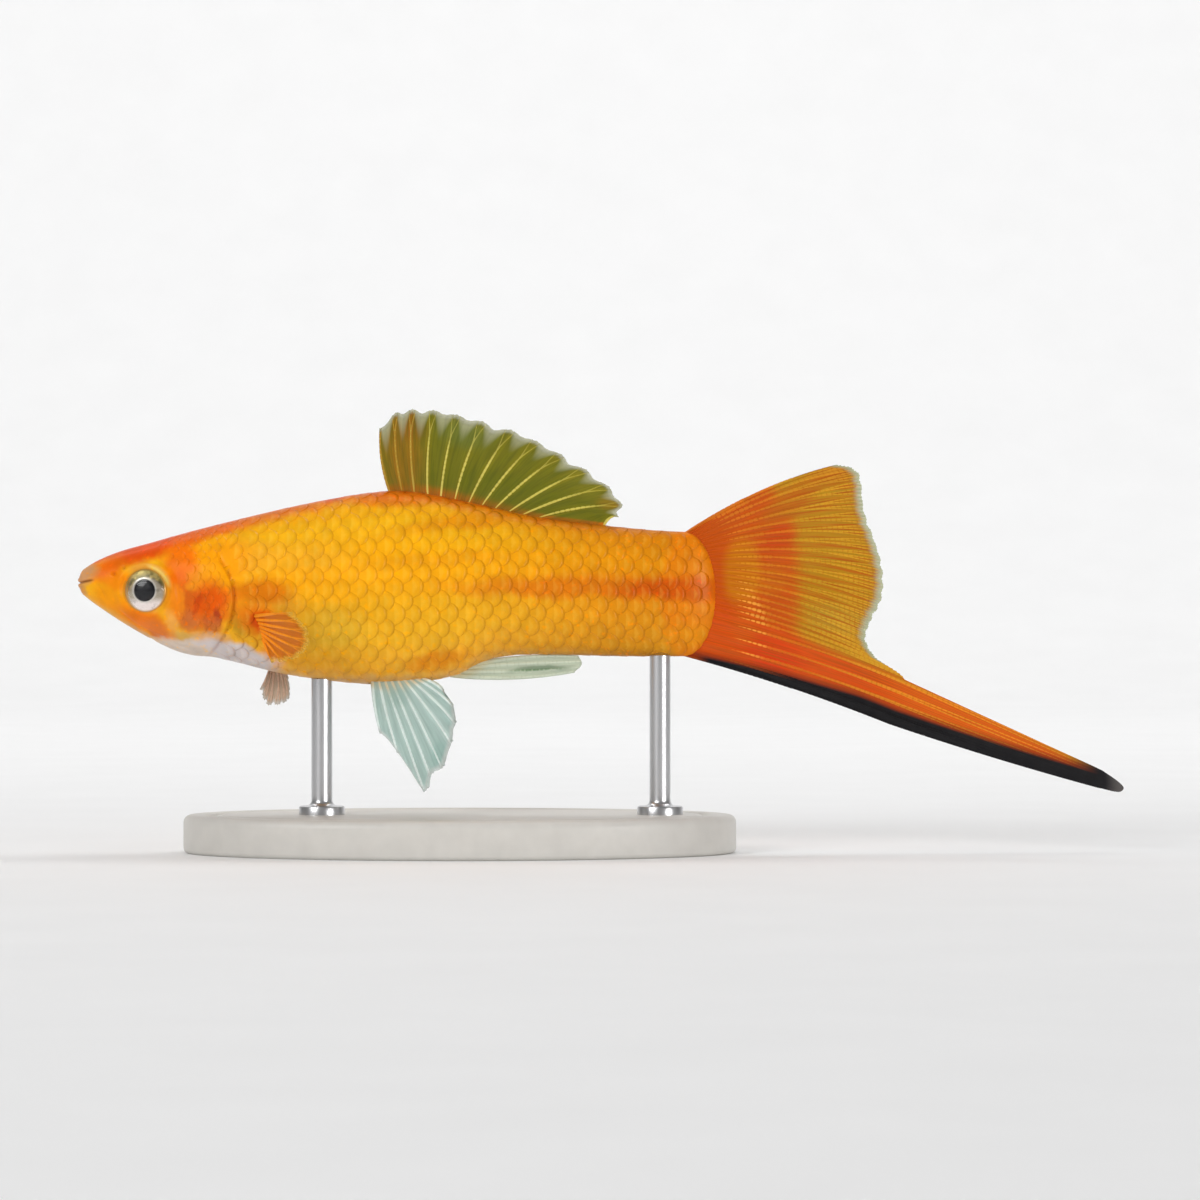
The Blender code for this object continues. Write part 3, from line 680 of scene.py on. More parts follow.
@dataclass(frozen=True)
class BodyForm:
    """The body's shape, from the same sizes as the solids."""

    back: Line = (
        (0.0, 1.9), (1.8, 3.05), (4.3, 4.1), (7.5, 5.0), (13.8, 6.8), (20.0, 8.35), (26.4, 9.7),
        (32.0, 10.5), (35.5, 10.4), (41.0, 9.35), (47.4, 7.95), (53.7, 7.1), (60.0, 6.45), (64.0, 6.25),
        (68.0, 6.2),
    )
    belly: Line = (
        (0.0, -0.1), (1.8, -1.5), (5.4, -3.85), (9.6, -6.1), (12.0, -6.85), (14.0, -7.05), (16.0, -7.5),
        (22.0, -8.95), (30.0, -9.9), (35.0, -9.75), (39.5, -9.0), (42.6, -7.5), (45.5, -6.9),
        (50.5, -6.85), (57.0, -7.0), (68.0, -7.0),
    )
    half_width: Line = (
        (0.0, 1.25), (2.0, 2.05), (5.0, 3.05), (7.5, 3.65), (12.0, 4.35), (18.0, 4.85), (27.0, 5.2),
        (34.0, 5.05), (42.0, 4.2), (50.0, 3.2), (57.0, 2.5), (62.0, 1.95), (65.0, 1.5), (68.0, 1.1),
    )
    gill_line: Line = (
        (16.6, 10.0), (15.4, 7.0), (14.9, 5.0), (15.0, 3.3), (15.9, 1.8), (16.5, 0.0), (16.5, -1.8),
        (16.0, -3.6), (15.1, -5.2), (14.0, -6.4), (13.2, -7.2), (12.4, -9.5),
    )
    snout_cap: float = 0.5
    tail_cap: float = 3.4
    back_fullness: float = 0.88
    belly_fullness: float = 0.94
    cover_rise: float = 0.35
    cover_start: float = 9.0
    cover_full: float = 14.5
    cover_levels: tuple[float, float, float, float] = (-9.0, -7.4, 2.6, 4.2)
    cover_edge: float = 0.1
    cover_groove: tuple[float, float, float] = (0.12, 0.22, 0.16)
    orbit_rim: float = 0.22
    orbit_radius: float = 2.85
    orbit_spread: float = 0.5
    eye_x: float = 7.3
    eye_z: float = 0.0
    eye_radius: float = 2.26
    eye_sink: float = 0.25
    eye_yaw: float = 12.0
    socket_depth: float = 1.2
    socket_edges: tuple[float, float] = (1.9, 2.08)
    lid_edges: tuple[float, float] = (2.26, 2.95)
    lid_level: float = -0.06
    coat_depth: float = 0.1
    bare_until: tuple[float, float] = (8.0, 17.0)
    mouth_rise: tuple[float, float] = (0.78, 0.2)
    mouth_corner: float = 1.75
    mouth_depth: float = 0.22
    mouth_width: float = 0.075
    lip_height: float = 0.1
    lip_spacing: float = 0.3
    lip_width: float = 0.2
    lip_ends: tuple[float, float] = (1.0, 2.3)
    creases: tuple[Crease, ...] = (
        Crease(((1.6, 1.1), (2.2, 0.5), (2.7, -0.3), (3.1, -1.2)), 0.09, 0.16),
        Crease(
            ((10.5, 1.2), (10.9, -0.8), (10.8, -2.6), (10.2, -4.0), (9.0, -4.95), (7.2, -5.1)), 0.1, 0.2
        ),
        Crease(
            ((10.1, 0.8), (10.45, -0.8), (10.3, -2.5), (9.7, -3.6), (8.6, -4.4), (7.2, -4.6)), -0.07, 0.22
        ),
        Crease(((4.2, -1.9), (6.0, -3.4), (8.0, -4.5), (10.2, -5.6), (12.4, -6.3)), 0.07, 0.17),
        Crease(((11.2, -4.7), (12.7, -4.9), (14.2, -4.6), (15.4, -4.2)), 0.06, 0.18),
        Crease(((4.9, 0.6), (5.3, -1.4), (6.6, -2.8), (8.2, -3.0)), 0.04, 0.2),
        Crease(((5.2, 2.3), (6.7, 3.2), (8.6, 3.1), (9.9, 2.0)), 0.05, 0.2),
        Crease(((16.9, 1.85), (18.6, 1.75), (20.6, 1.7)), -0.05, 0.16),
    )
    nostrils: tuple[Knob, ...] = (Knob(3.9, 1.75, 0.2, -0.28), Knob(5.0, 2.35, 0.18, -0.24))
    knobs: tuple[Knob, ...] = (
        Knob(3.9, 1.75, 0.45, 0.06), Knob(5.0, 2.35, 0.45, 0.05), Knob(19.0, -3.9, 1.3, 0.25),
        Knob(13.4, -1.4, 2.2, 0.06),
    )

    def middle(self, x: Array) -> Array:
        """Height of the widest part of the section."""
        return (along(self.back, x) + along(self.belly, x)) / 2

    def height(self, x: Array) -> Array:
        """Half the depth of the section."""
        return (along(self.back, x) - along(self.belly, x)) / 2

    def closing(self, x: Array) -> Array:
        """How far the section has closed at either end: 0 at the tip, 1 where it is full.

        Args:
            x: distances behind the snout.

        Returns:
            The shares.
        """
        front = np.clip(x / self.snout_cap, 0.0, 1.0)
        rear = np.clip((x - STANDARD_LENGTH + self.tail_cap) / self.tail_cap, 0.0, 1.0)
        return np.sqrt(1 - (1 - front) ** 2) * np.sqrt(1 - rear**2)

    def flank_reach(self, x: Array, z: Array) -> Array:
        """Half width of the body at a height.

        Args:
            x: distances behind the snout.
            z: the heights.

        Returns:
            The widths.
        """
        rise = z - self.middle(x)
        fullness = np.where(rise > 0, self.back_fullness, self.belly_fullness)
        up = np.minimum(np.abs(rise) / self.height(x), 1.0) ** (1 / fullness)
        return along(self.half_width, x) * np.sqrt(1 - up * up) ** fullness

    def before_gill(self, x: Array, z: Array) -> Array:
        """Distance in front of the gill cover's rear edge, in millimetres."""
        line = spread(self.gill_line, np.linspace(0, 1, 90))[::-1]
        return np.interp(z, line[:, 1], line[:, 0]) - x

    def base(self, x: Array, turn: Array, covered: bool) -> Array:
        """Plain form, with the orbit's rim and the gill cover's swelling.

        Args:
            x: distances behind the snout.
            turn: angles from the back round by the left flank.
            covered: whether the gill cover ends in its step.

        Returns:
            Points in fish millimetres.
        """
        factor = self.closing(x)
        side, up = np.sin(turn), np.cos(turn)
        fullness = np.where(up > 0, self.back_fullness, self.belly_fullness)
        z = self.middle(x) + factor * self.height(x) * np.sign(up) * np.abs(up) ** fullness
        y = -factor * along(self.half_width, x) * np.sign(side) * np.abs(side) ** fullness
        away = np.hypot(x - self.eye_x, z - self.eye_z)
        out = self.orbit_rim * bump(away - self.orbit_radius, self.orbit_spread)
        low, low_full, high_full, high = self.cover_levels
        level = ramp(low, low_full, z) * (1 - ramp(high_full, high, z))
        cover = self.cover_rise * ramp(self.cover_start, self.cover_full, x) * level
        if covered:
            ahead = self.before_gill(x, z)
            cover = cover * ramp(-self.cover_edge, self.cover_edge, ahead)
            deep, behind, width = self.cover_groove
            cover = cover - deep * level * bump(ahead + behind, width)
        else:
            cover = cover * (1 - ramp(self.cover_full, self.cover_full + 4.0, x))
        y = y - (out + cover) * np.sign(side) * side**2 * factor
        return pack(x, y, z)

    def outward(self, x: Array, turn: Array) -> Array:
        """Outward directions of the plain form.

        Args:
            x: distances behind the snout.
            turn: the angles.

        Returns:
            Unit vectors.
        """
        step_x, step_turn = 0.04, 0.02
        ahead = self.base(np.minimum(x + step_x, STANDARD_LENGTH - 1e-4), turn, False)
        behind = self.base(np.maximum(x - step_x, 1e-4), turn, False)
        on = self.base(x, turn + step_turn, False) - self.base(x, turn - step_turn, False)
        return unit(np.cross(on, ahead - behind))

    def from_slit(self, x: Array, z: Array) -> Array:
        """Height over the line of the mouth slit."""
        return z - self.mouth_rise[0] - self.mouth_rise[1] * x

    def relief(self, x: Array, z: Array) -> Array:
        """How far mouth, nostrils, creases and knobs move the skin outwards, in millimetres.

        Args:
            x: distances behind the snout.
            z: the heights.

        Returns:
            The distances.
        """
        out = sum(crease.lift(x, z) for crease in self.creases)
        out = out + sum(knob.lift(x, z) for knob in self.nostrils + self.knobs)
        from_slit = self.from_slit(x, z)
        reach = 1 - ramp(self.mouth_corner - 0.5, self.mouth_corner + 0.1, x)
        out = out - self.mouth_depth * bump(from_slit, self.mouth_width) * reach
        lips = bump(np.abs(from_slit) - self.lip_spacing, self.lip_width)
        return out + self.lip_height * lips * (1 - ramp(*self.lip_ends, x))

    def eye_frame(self, side: Side) -> Matrix:
        """Matrix of an eye, in fish millimetres: its rim's middle at the origin, its axis along +Z.

        Args:
            side: of the fish.

        Returns:
            The matrix.
        """
        yaw = math.radians(self.eye_yaw)
        y = side.value * (float(along(self.half_width, np.array(self.eye_x))) - self.eye_sink)
        axis = Vector((-math.sin(yaw), side.value * math.cos(yaw), 0))
        across = Vector((axis.y, -axis.x, 0)).normalized()
        turned_frame = Matrix((across, axis.cross(across), axis)).transposed().to_4x4()
        return Matrix.Translation((self.eye_x, y, self.eye_z)) @ turned_frame

    def socketed(self, points: Array) -> Array:
        """The points with both eye sockets pressed in.

        Args:
            points: points of the skin.

        Returns:
            The moved points.
        """
        for side in Side:
            frame_of_eye = self.eye_frame(side)
            centre = np.array(frame_of_eye.translation)
            axis = np.array(frame_of_eye.col[2])[:3]
            from_centre = points - centre
            deep = from_centre @ axis
            away = np.linalg.norm(from_centre - deep[..., None] * axis, axis=-1)
            near = deep > -2.0
            lid = (1 - ramp(*self.lid_edges, away)) * near
            deep_lid = deep + lid * (self.lid_level - deep)
            inside = (1 - ramp(*self.socket_edges, away)) * near
            moved = deep_lid + inside * (-self.socket_depth - deep_lid) - deep
            points = points + moved[..., None] * axis
        return points

    def skin(self, x: Array, turn: Array) -> Array:
        """The finished skin.

        Args:
            x: distances behind the snout.
            turn: angles from the back round by the left flank.

        Returns:
            Points in fish millimetres.
        """
        points = self.base(x, turn, True)
        sunk = self.coat_depth * ramp(*self.bare_until, x)
        out = self.relief(x, points[..., 2]) - sunk
        return self.socketed(points + self.outward(x, turn) * out[..., None])

    @staticmethod
    def bake_place(x: Array, turn: Array) -> tuple[Array, Array]:
        """Where a place lies on the unwrap of the skin, which is slit along the belly."""
        u = 0.01 + 0.97 * (np.clip(x, 0, None) / STANDARD_LENGTH) ** 0.8
        return u, (turn / (2 * math.pi) + 0.5) % 1.0

    @staticmethod
    def bake_level(v: Array) -> Array:
        """The unwrap's heights, kept clear of the map's edges."""
        return v * 0.98 + 0.005


FORM = BodyForm()


@dataclass(frozen=True)
class BodyColours:
    """The markings that skin and scales share."""

    group_name: str = "markings"
    wobble: float = 0.85
    flank: tuple[tuple[float, Colour], ...] = (
        (0.0, (0.8, 0.42, 0.09)), (0.07, (0.86, 0.4, 0.03)), (0.25, (0.84, 0.42, 0.014)),
        (0.42, (0.86, 0.41, 0.008)), (0.55, (0.95, 0.4, 0.004)), (0.68, (0.93, 0.42, 0.004)),
        (0.82, (0.9, 0.45, 0.008)), (0.92, (0.88, 0.38, 0.006)), (0.97, (0.8, 0.2, 0.003)),
        (1.0, (0.68, 0.1, 0.002)),
    )
    stalk: tuple[tuple[float, Colour], ...] = (
        (0.0, (0.46, 0.19, 0.015)), (0.08, (0.6, 0.24, 0.008)), (0.3, (0.74, 0.27, 0.005)),
        (0.5, (0.74, 0.24, 0.003)), (0.72, (0.76, 0.27, 0.003)), (0.92, (0.7, 0.23, 0.004)),
        (1.0, (0.55, 0.17, 0.01)),
    )
    stalk_from: tuple[float, float] = (38.0, 60.0)
    marks: tuple[Mark, ...] = (
        # back and flank
        Mark(45.0, 8.0, 17.0, 1.5, (0.76, 0.25, 0.003), 0.75, 10.0),
        Mark(34.0, 9.6, 8.0, 1.1, (0.78, 0.17, 0.004), 0.7),
        Mark(22.0, 3.2, 10.0, 2.2, (0.9, 0.42, 0.02), 0.5),
        Mark(27.0, 1.7, 12.0, 1.0, (1.0, 0.43, 0.008), 0.75),
        Mark(39.0, 3.4, 13.0, 1.0, (0.84, 0.32, 0.004), 0.6, 3.0),
        Mark(67.0, 0.0, 6.5, 10.0, (0.78, 0.2, 0.003), 0.75, 0.0, 0.8),
        Mark(54.0, 0.6, 21.0, 1.7, (0.7, 0.17, 0.003), 0.85, 1.0),
        Mark(62.0, 0.2, 8.5, 1.7, (0.6, 0.08, 0.001), 0.9),
        Mark(65.3, -0.1, 2.8, 1.7, (0.62, 0.11, 0.001), 0.75),
        Mark(64.3, -4.6, 3.0, 1.7, (0.72, 0.26, 0.004), 0.7),
        Mark(25.5, -4.2, 7.0, 3.2, (0.66, 0.41, 0.028), 0.65),
        Mark(21.8, -1.6, 3.2, 1.9, (0.62, 0.3, 0.03), 0.5),
        Mark(37.5, -7.2, 4.5, 1.4, (0.72, 0.22, 0.006), 0.75, 12.0),
        Mark(31.0, -9.6, 8.0, 0.9, (0.62, 0.34, 0.12), 0.6),
        # shoulder
        Mark(17.5, 3.4, 4.8, 3.2, (0.94, 0.41, 0.015), 0.85),
        Mark(19.2, -0.2, 4.8, 1.9, (0.7, 0.18, 0.002), 0.95),
        Mark(18.2, -2.6, 2.2, 2.6, (0.66, 0.2, 0.005), 0.75),
        Mark(17.3, -3.7, 1.4, 1.7, (0.5, 0.26, 0.015), 0.8, 15.0),
        Mark(18.9, -2.9, 2.6, 2.2, (0.78, 0.17, 0.003), 0.7),
        Mark(19.5, -3.3, 1.4, 1.4, (0.7, 0.07, 0.001), 0.9),
        Mark(20.3, -6.8, 1.7, 2.2, (0.82, 0.3, 0.03), 0.85),
        # head
        Mark(8.4, 4.6, 8.8, 1.85, (0.78, 0.08, 0.001), 1.0, 15.5),
        Mark(14.5, 6.5, 6.0, 1.4, (0.78, 0.13, 0.002), 0.9, 15.0),
        Mark(20.5, 8.1, 6.0, 1.0, (0.74, 0.17, 0.003), 0.8, 13.0),
        Mark(14.9, 3.0, 5.0, 3.4, (1.0, 0.36, 0.001), 0.95, 10.0),
        Mark(11.0, 3.0, 2.8, 3.4, (0.93, 0.17, 0.001), 0.95),
        Mark(10.9, 0.7, 1.5, 1.7, (0.86, 0.12, 0.002), 0.8),
        Mark(3.3, 2.1, 2.6, 1.9, (0.82, 0.12, 0.001), 0.9, 25.0),
        Mark(4.4, 0.9, 2.0, 1.5, (0.9, 0.22, 0.001), 0.8),
        Mark(3.9, -0.9, 3.2, 1.7, (0.9, 0.3, 0.002), 0.9, -22.0),
        Mark(7.2, -3.1, 4.4, 1.9, (0.82, 0.17, 0.004), 0.95, -25.0),
        Mark(13.2, -1.4, 5.0, 3.5, (0.78, 0.16, 0.005), 0.95, 0.0, 0.45),
        Mark(12.0, -1.3, 1.9, 3.0, (0.6, 0.1, 0.008), 0.7, 12.0),
        Mark(12.3, 0.5, 1.4, 0.8, (0.9, 0.3, 0.006), 0.7, 30.0),
        Mark(10.8, -1.1, 0.8, 2.6, (0.9, 0.26, 0.008), 0.75, 14.0),
        Mark(10.1, -3.0, 1.1, 1.6, (0.84, 0.38, 0.08), 0.75, 18.0),
        Mark(12.1, -3.1, 1.7, 1.5, (0.56, 0.15, 0.035), 0.8),
        Mark(14.3, -1.3, 2.9, 2.7, (0.7, 0.075, 0.001), 0.8),
        Mark(12.9, -1.5, 0.6, 1.7, (0.5, 0.045, 0.002), 0.7, -14.0),
        Mark(15.2, -2.8, 0.5, 1.1, (0.34, 0.03, 0.014), 0.75),
        Mark(14.4, -3.7, 1.5, 1.4, (0.5, 0.1, 0.03), 0.75),
        Mark(11.5, -4.8, 2.8, 1.0, (0.6, 0.36, 0.1), 0.75, -12.0),
        Mark(14.0, -5.0, 2.6, 1.1, (0.68, 0.38, 0.22), 0.75, -12.0),
        Mark(8.4, -3.9, 3.0, 1.2, (0.7, 0.18, 0.035), 0.85, -25.0),
        # throat and breast
        Mark(15.5, -7.0, 6.6, 2.0, (0.64, 0.57, 0.56), 1.0, -12.0, 0.6),
        Mark(11.3, -6.6, 4.6, 1.7, (0.68, 0.56, 0.47), 0.95, -22.0, 0.55),
        Mark(6.6, -4.9, 3.2, 0.8, (0.62, 0.33, 0.15), 0.7, -32.0),
        # snout
        Mark(0.6, 1.6, 2.2, 1.6, (0.6, 0.29, 0.13), 0.95, 25.0),
        Mark(0.4, 0.1, 1.5, 0.9, (0.58, 0.26, 0.09), 0.8, -35.0),
    )
    # The arch over the eye: the skin's gold with a painted highlight on the orbit's upper rim, and a
    # brighter painted highlight at its upper rear.
    orbit_gold: Colour = (0.8, 0.33, 0.04)
    orbit_cream: Colour = (0.95, 0.64, 0.15)
    orbit_line: Colour = (0.5, 0.22, 0.03)
    speckle: Colour = (0.92, 0.52, 0.06)
    # Painted shade in the mouth slit and nostril pits, and in the groove behind the gill cover.
    mouth: Colour = (0.2, 0.06, 0.01)
    gill_dark: Colour = (0.3, 0.03, 0.006)

    def group(self) -> bpy.types.NodeTree:
        """The node group that gives the colour at each place.

        Returns:
            The group, with one output for the colour.
        """
        made = bpy.data.node_groups.get(self.group_name)
        if made:
            return made
        made = bpy.data.node_groups.new(self.group_name, "ShaderNodeTree")
        made.interface.new_socket("Colour", in_out="OUTPUT", socket_type="NodeSocketColor")
        nodes = Nodes(made)
        place = nodes.fish_place(self.wobble)
        x, z, _ = nodes.parts(place)
        own = nodes.own_place()
        level = nodes.math("MULTIPLY_ADD", nodes.number("rise"), 0.5, 0.5)
        level = nodes.plus(level, nodes.fit(nodes.noise(own, 500.0), -0.05, 0.05))
        flank, stalk = nodes.blend(level, self.flank), nodes.blend(level, self.stalk)
        colour = nodes.mix(nodes.rise(x, *self.stalk_from), flank, stalk)
        for mark in self.marks:
            colour = mark.over(nodes, place, colour)
        colour = self.orbit(nodes, colour)
        colour = self.lines(nodes, colour)
        speckle = nodes.rise(nodes.noise(own, 1700.0, 3.0), 0.56, 0.75)
        colour = nodes.mix(speckle, colour, self.speckle, "SOFT_LIGHT")
        colour = nodes.toned(colour, nodes.noise(own, 700.0, 3.0), 0.8, 1.2)
        nodes.feed(nodes.add("NodeGroupOutput").inputs[0], colour)
        return made

    def orbit(self, nodes: Nodes, colour: Socket) -> Socket:
        """Lays the golden arch over the eye, the skin's gold with a painted highlight on the orbit's rim,
        and the dark line round it over a colour.

        Args:
            nodes: the material's nodes.
            colour: the colour below.

        Returns:
            The colour.
        """
        x, z, _ = nodes.parts(nodes.fish_place(0.0))
        dx = nodes.minus(x, FORM.eye_x)
        dz = nodes.minus(z, FORM.eye_z)
        away = nodes.length(nodes.joined(dx, dz))
        ring = nodes.times(nodes.rise(away, 3.15, 2.5), nodes.rise(away, 2.0, 2.25))
        above = nodes.math("MULTIPLY_ADD", dx, 0.35, dz)
        arch = nodes.times(ring, nodes.rise(above, 0.9, 1.9))
        # the skin's gold with a painted highlight over the orbit's upper rim
        colour = nodes.mix(nodes.times(arch, 0.9), colour, self.orbit_gold)
        # painted highlight, brightest at the arch's upper rear
        bright = nodes.rise(nodes.math("MULTIPLY_ADD", dx, 1.1, dz), 2.5, 3.3)
        bright = nodes.times(bright, nodes.rise(away, 2.95, 2.45))
        colour = nodes.mix(nodes.times(arch, bright), colour, self.orbit_cream)
        edge = nodes.rise(away, 2.5, 2.25)
        return nodes.mix(nodes.times(edge, 0.6), colour, self.orbit_line)

    def lines(self, nodes: Nodes, colour: Socket) -> Socket:
        """Lays painted shade into the mouth slit, the nostril pits and the groove behind the gill cover
        over a colour.
        """
        # painted shade in the mouth slit and nostril pits, then in the gill groove
        colour = nodes.mix(nodes.times(nodes.number("slit"), 0.8), colour, self.mouth)
        return nodes.mix(nodes.times(nodes.number("gill"), 0.32), colour, self.gill_dark)


@dataclass
class SkinFinish(Finish):
    """Moist skin with the body's markings."""

    name: str = "skin"
    gleam: ClassVar[Colour] = GOLD_GLEAM

    def build(self) -> bpy.types.Material:
        """Builds the material.

        Returns:
            The material.
        """
        nodes = self.start(roughness=0.36, coat=0.04, coat_roughness=0.18, specular=0.16)
        marks = nodes.add("ShaderNodeGroup", node_tree=BodyColours().group())
        nodes.feed(self.shader.inputs["Base Color"], marks.outputs[0])
        own = nodes.own_place()
        pores = nodes.out("ShaderNodeTexVoronoi", {"Vector": own, "Scale": 2600.0}, "Distance")
        height = nodes.math("MULTIPLY_ADD", pores, 0.35, nodes.noise(own, 3800.0, 4.0))
        self.relief(nodes, height, strength=0.35, depth=0.05)
        nodes.feed(self.shader.inputs["Roughness"], nodes.fit(nodes.noise(own, 1500.0), 0.28, 0.5))
        return self.material


@dataclass
class ScaleFinish(Finish):
    """Thin scales in the body's markings, each with growth rings, a fine dusky rim and a painted sheen just
    inside it.
    """

    name: str = "scales"
    rim_share: float = 0.13
    rim_colour: Colour = (0.5, 0.16, 0.01)
    # painted sheen on each scale's free part
    glow_share: float = 0.12
    glow_colour: Colour = (1.0, 0.6, 0.1)
    ring_pace: float = 95.0
    spoke_pace: float = 46.0
    gleam: ClassVar[Colour] = GOLD_GLEAM

    def build(self) -> bpy.types.Material:
        """Builds the material.

        Returns:
            The material.
        """
        nodes = self.start(roughness=0.34, coat=0.05, coat_roughness=0.15, specular=0.18)
        marks = nodes.add("ShaderNodeGroup", node_tree=BodyColours().group())
        own = nodes.own_place()
        along_plate, across, _ = nodes.parts(nodes.out("ShaderNodeUVMap", uv_map="plate"))
        tinted = nodes.toned(marks.outputs[0], nodes.number("tint"), 0.95, 1.06)
        free = nodes.rise(along_plate, 0.4, 0.72)
        colour = nodes.mix(free, marks.outputs[0], tinted)
        aside = nodes.minus(across, 0.5)
        reach = nodes.math("MULTIPLY_ADD", nodes.math("ABSOLUTE", aside), 0.45, along_plate)
        rim = nodes.rise(reach, 0.84, 1.02)
        colour = nodes.mix(nodes.times(rim, self.rim_share), colour, self.rim_colour)
        # painted sheen in a band just inside the rim
        sheen = nodes.times(nodes.rise(reach, 0.5, 0.72), nodes.rise(reach, 0.86, 0.74))
        colour = nodes.mix(nodes.times(sheen, self.glow_share), colour, self.glow_colour, "SCREEN")
        nodes.feed(self.shader.inputs["Base Color"], colour)
        rings = nodes.math("SINE", nodes.times(reach, self.ring_pace))
        angle = nodes.math("ARCTAN2", aside, nodes.plus(along_plate, 0.25))
        spokes = nodes.math("SINE", nodes.times(angle, self.spoke_pace))
        height = nodes.plus(nodes.fit(rings, 0.0, 0.3), nodes.fit(spokes, 0.0, 0.3))
        height = nodes.math("MULTIPLY_ADD", height, free, nodes.noise(own, 3500.0))
        self.relief(nodes, height, 0.3, 0.03)
        return self.material


@dataclass
class Skin:
    """One skin for head, jaw, torso and tail stalk."""

    name: str = "body_skin_surface"
    around: int = 192
    snout_turns: int = 14
    head_end: float = 18.0
    head_step: float = 0.125
    trunk_step: float = 0.45
    tail_turns: int = 16
    # Reach of the painted shade in the mouth slit, in the nostril pits and in the groove behind the gill
    # cover.
    slit_width: float = 0.11
    slit_start: float = 0.9
    slit_ends: tuple[float, float] = (1.3, 1.9)
    nostril: tuple[float, float] = (0.35, 0.17)
    groove_behind: float = 0.15
    groove_width: float = 0.17
    groove_levels: tuple[float, float, float, float] = (-7.4, -6.0, 2.4, 4.0)

    def stations(self) -> Array:
        """Distances of the rings behind the snout.

        Returns:
            The distances, close together where the skin turns in.
        """
        quarter = math.pi / 2
        snout = FORM.snout_cap * (1 - np.cos(np.linspace(0, quarter, self.snout_turns + 1)[1:-1]))
        flat_end = STANDARD_LENGTH - FORM.tail_cap
        head = np.arange(FORM.snout_cap, self.head_end, self.head_step)
        trunk = np.arange(self.head_end, flat_end, self.trunk_step)
        tail = flat_end + FORM.tail_cap * np.sin(np.linspace(0, quarter, self.tail_turns + 1)[:-1])
        return np.concatenate((snout, head, trunk, tail))

    def marks(self, points: Array, turn: Array) -> dict[str, Array]:
        """Named numbers that the markings read.

        Args:
            points: the skin's points, in fish millimetres.
            turn: their angles.

        Returns:
            The level between belly and back, and the strength of the painted shade in the mouth slit, the
            nostril pits and the gill groove.
        """
        x, z = points[:, 0], points[:, 2]
        # painted shade along the mouth slit
        slit = bump(FORM.from_slit(x, z), self.slit_width)
        slit = slit * (1 - ramp(*self.slit_ends, x)) * ramp(0.0, self.slit_start, x)
        lowest, low, high, highest = self.groove_levels
        level = ramp(lowest, low, z) * (1 - ramp(high, highest, z))
        # painted shade in the groove behind the gill cover
        groove = bump(FORM.before_gill(x, z) + self.groove_behind, self.groove_width) * level
        # painted shade in the nostril pits
        dark, radius = self.nostril
        nostrils = sum(dark * bump(np.hypot(x - k.x, z - k.z), radius) for k in FORM.nostrils)
        return {"rise": np.cos(turn), "slit": slit + nostrils, "gill": groove}

    def build(self) -> bpy.types.Object:
        """The skin as a closed mesh.

        Returns:
            The skin, handed over.
        """
        stations = self.stations()
        turns = np.arange(self.around) * 2 * math.pi / self.around
        x, turn = (grid.ravel() for grid in np.meshgrid(stations, turns, indexing="ij"))
        points = FORM.skin(x, turn)
        tips = np.array((1e-3, STANDARD_LENGTH - 1e-3))
        ends = pack(tips, 0, FORM.middle(tips))
        ends[0, 0] -= float(FORM.relief(ends[:1, 0], ends[:1, 2])[0])
        points = np.vstack((points, ends))
        turn = np.append(turn, (math.pi / 2, math.pi / 2))
        faces = tube_faces(len(stations), self.around)
        made = mesh_object(self.name, placed(points), faces, self.marks(points, turn))
        self.unwrap(made, points[:, 0], turn)
        solids = ("head", "lower_jaw", "torso", "tail_stalk")
        hand_over(smooth(made), "body_skin", *solids, finish=SkinFinish().build())
        return made

    def unwrap(self, made: bpy.types.Object, x: Array, turn: Array) -> None:
        """Lays the bake map over the skin, slit along the belly.

        Args:
            made: the skin.
            x: distance of each vertex behind the snout.
            turn: its angle.
        """
        totals = np.zeros(len(made.data.polygons), np.int32)
        made.data.polygons.foreach_get("loop_total", totals)
        face = np.repeat(np.arange(len(totals)), totals)
        u, v = (value[corners(made)] for value in FORM.bake_place(x, turn))
        highest = np.zeros(len(totals))
        np.maximum.at(highest, face, v)
        lay_map(made, BAKE_MAP, pack(u, FORM.bake_level(np.where(highest[face] - v > 0.5, v + 1, v))))


# Scales


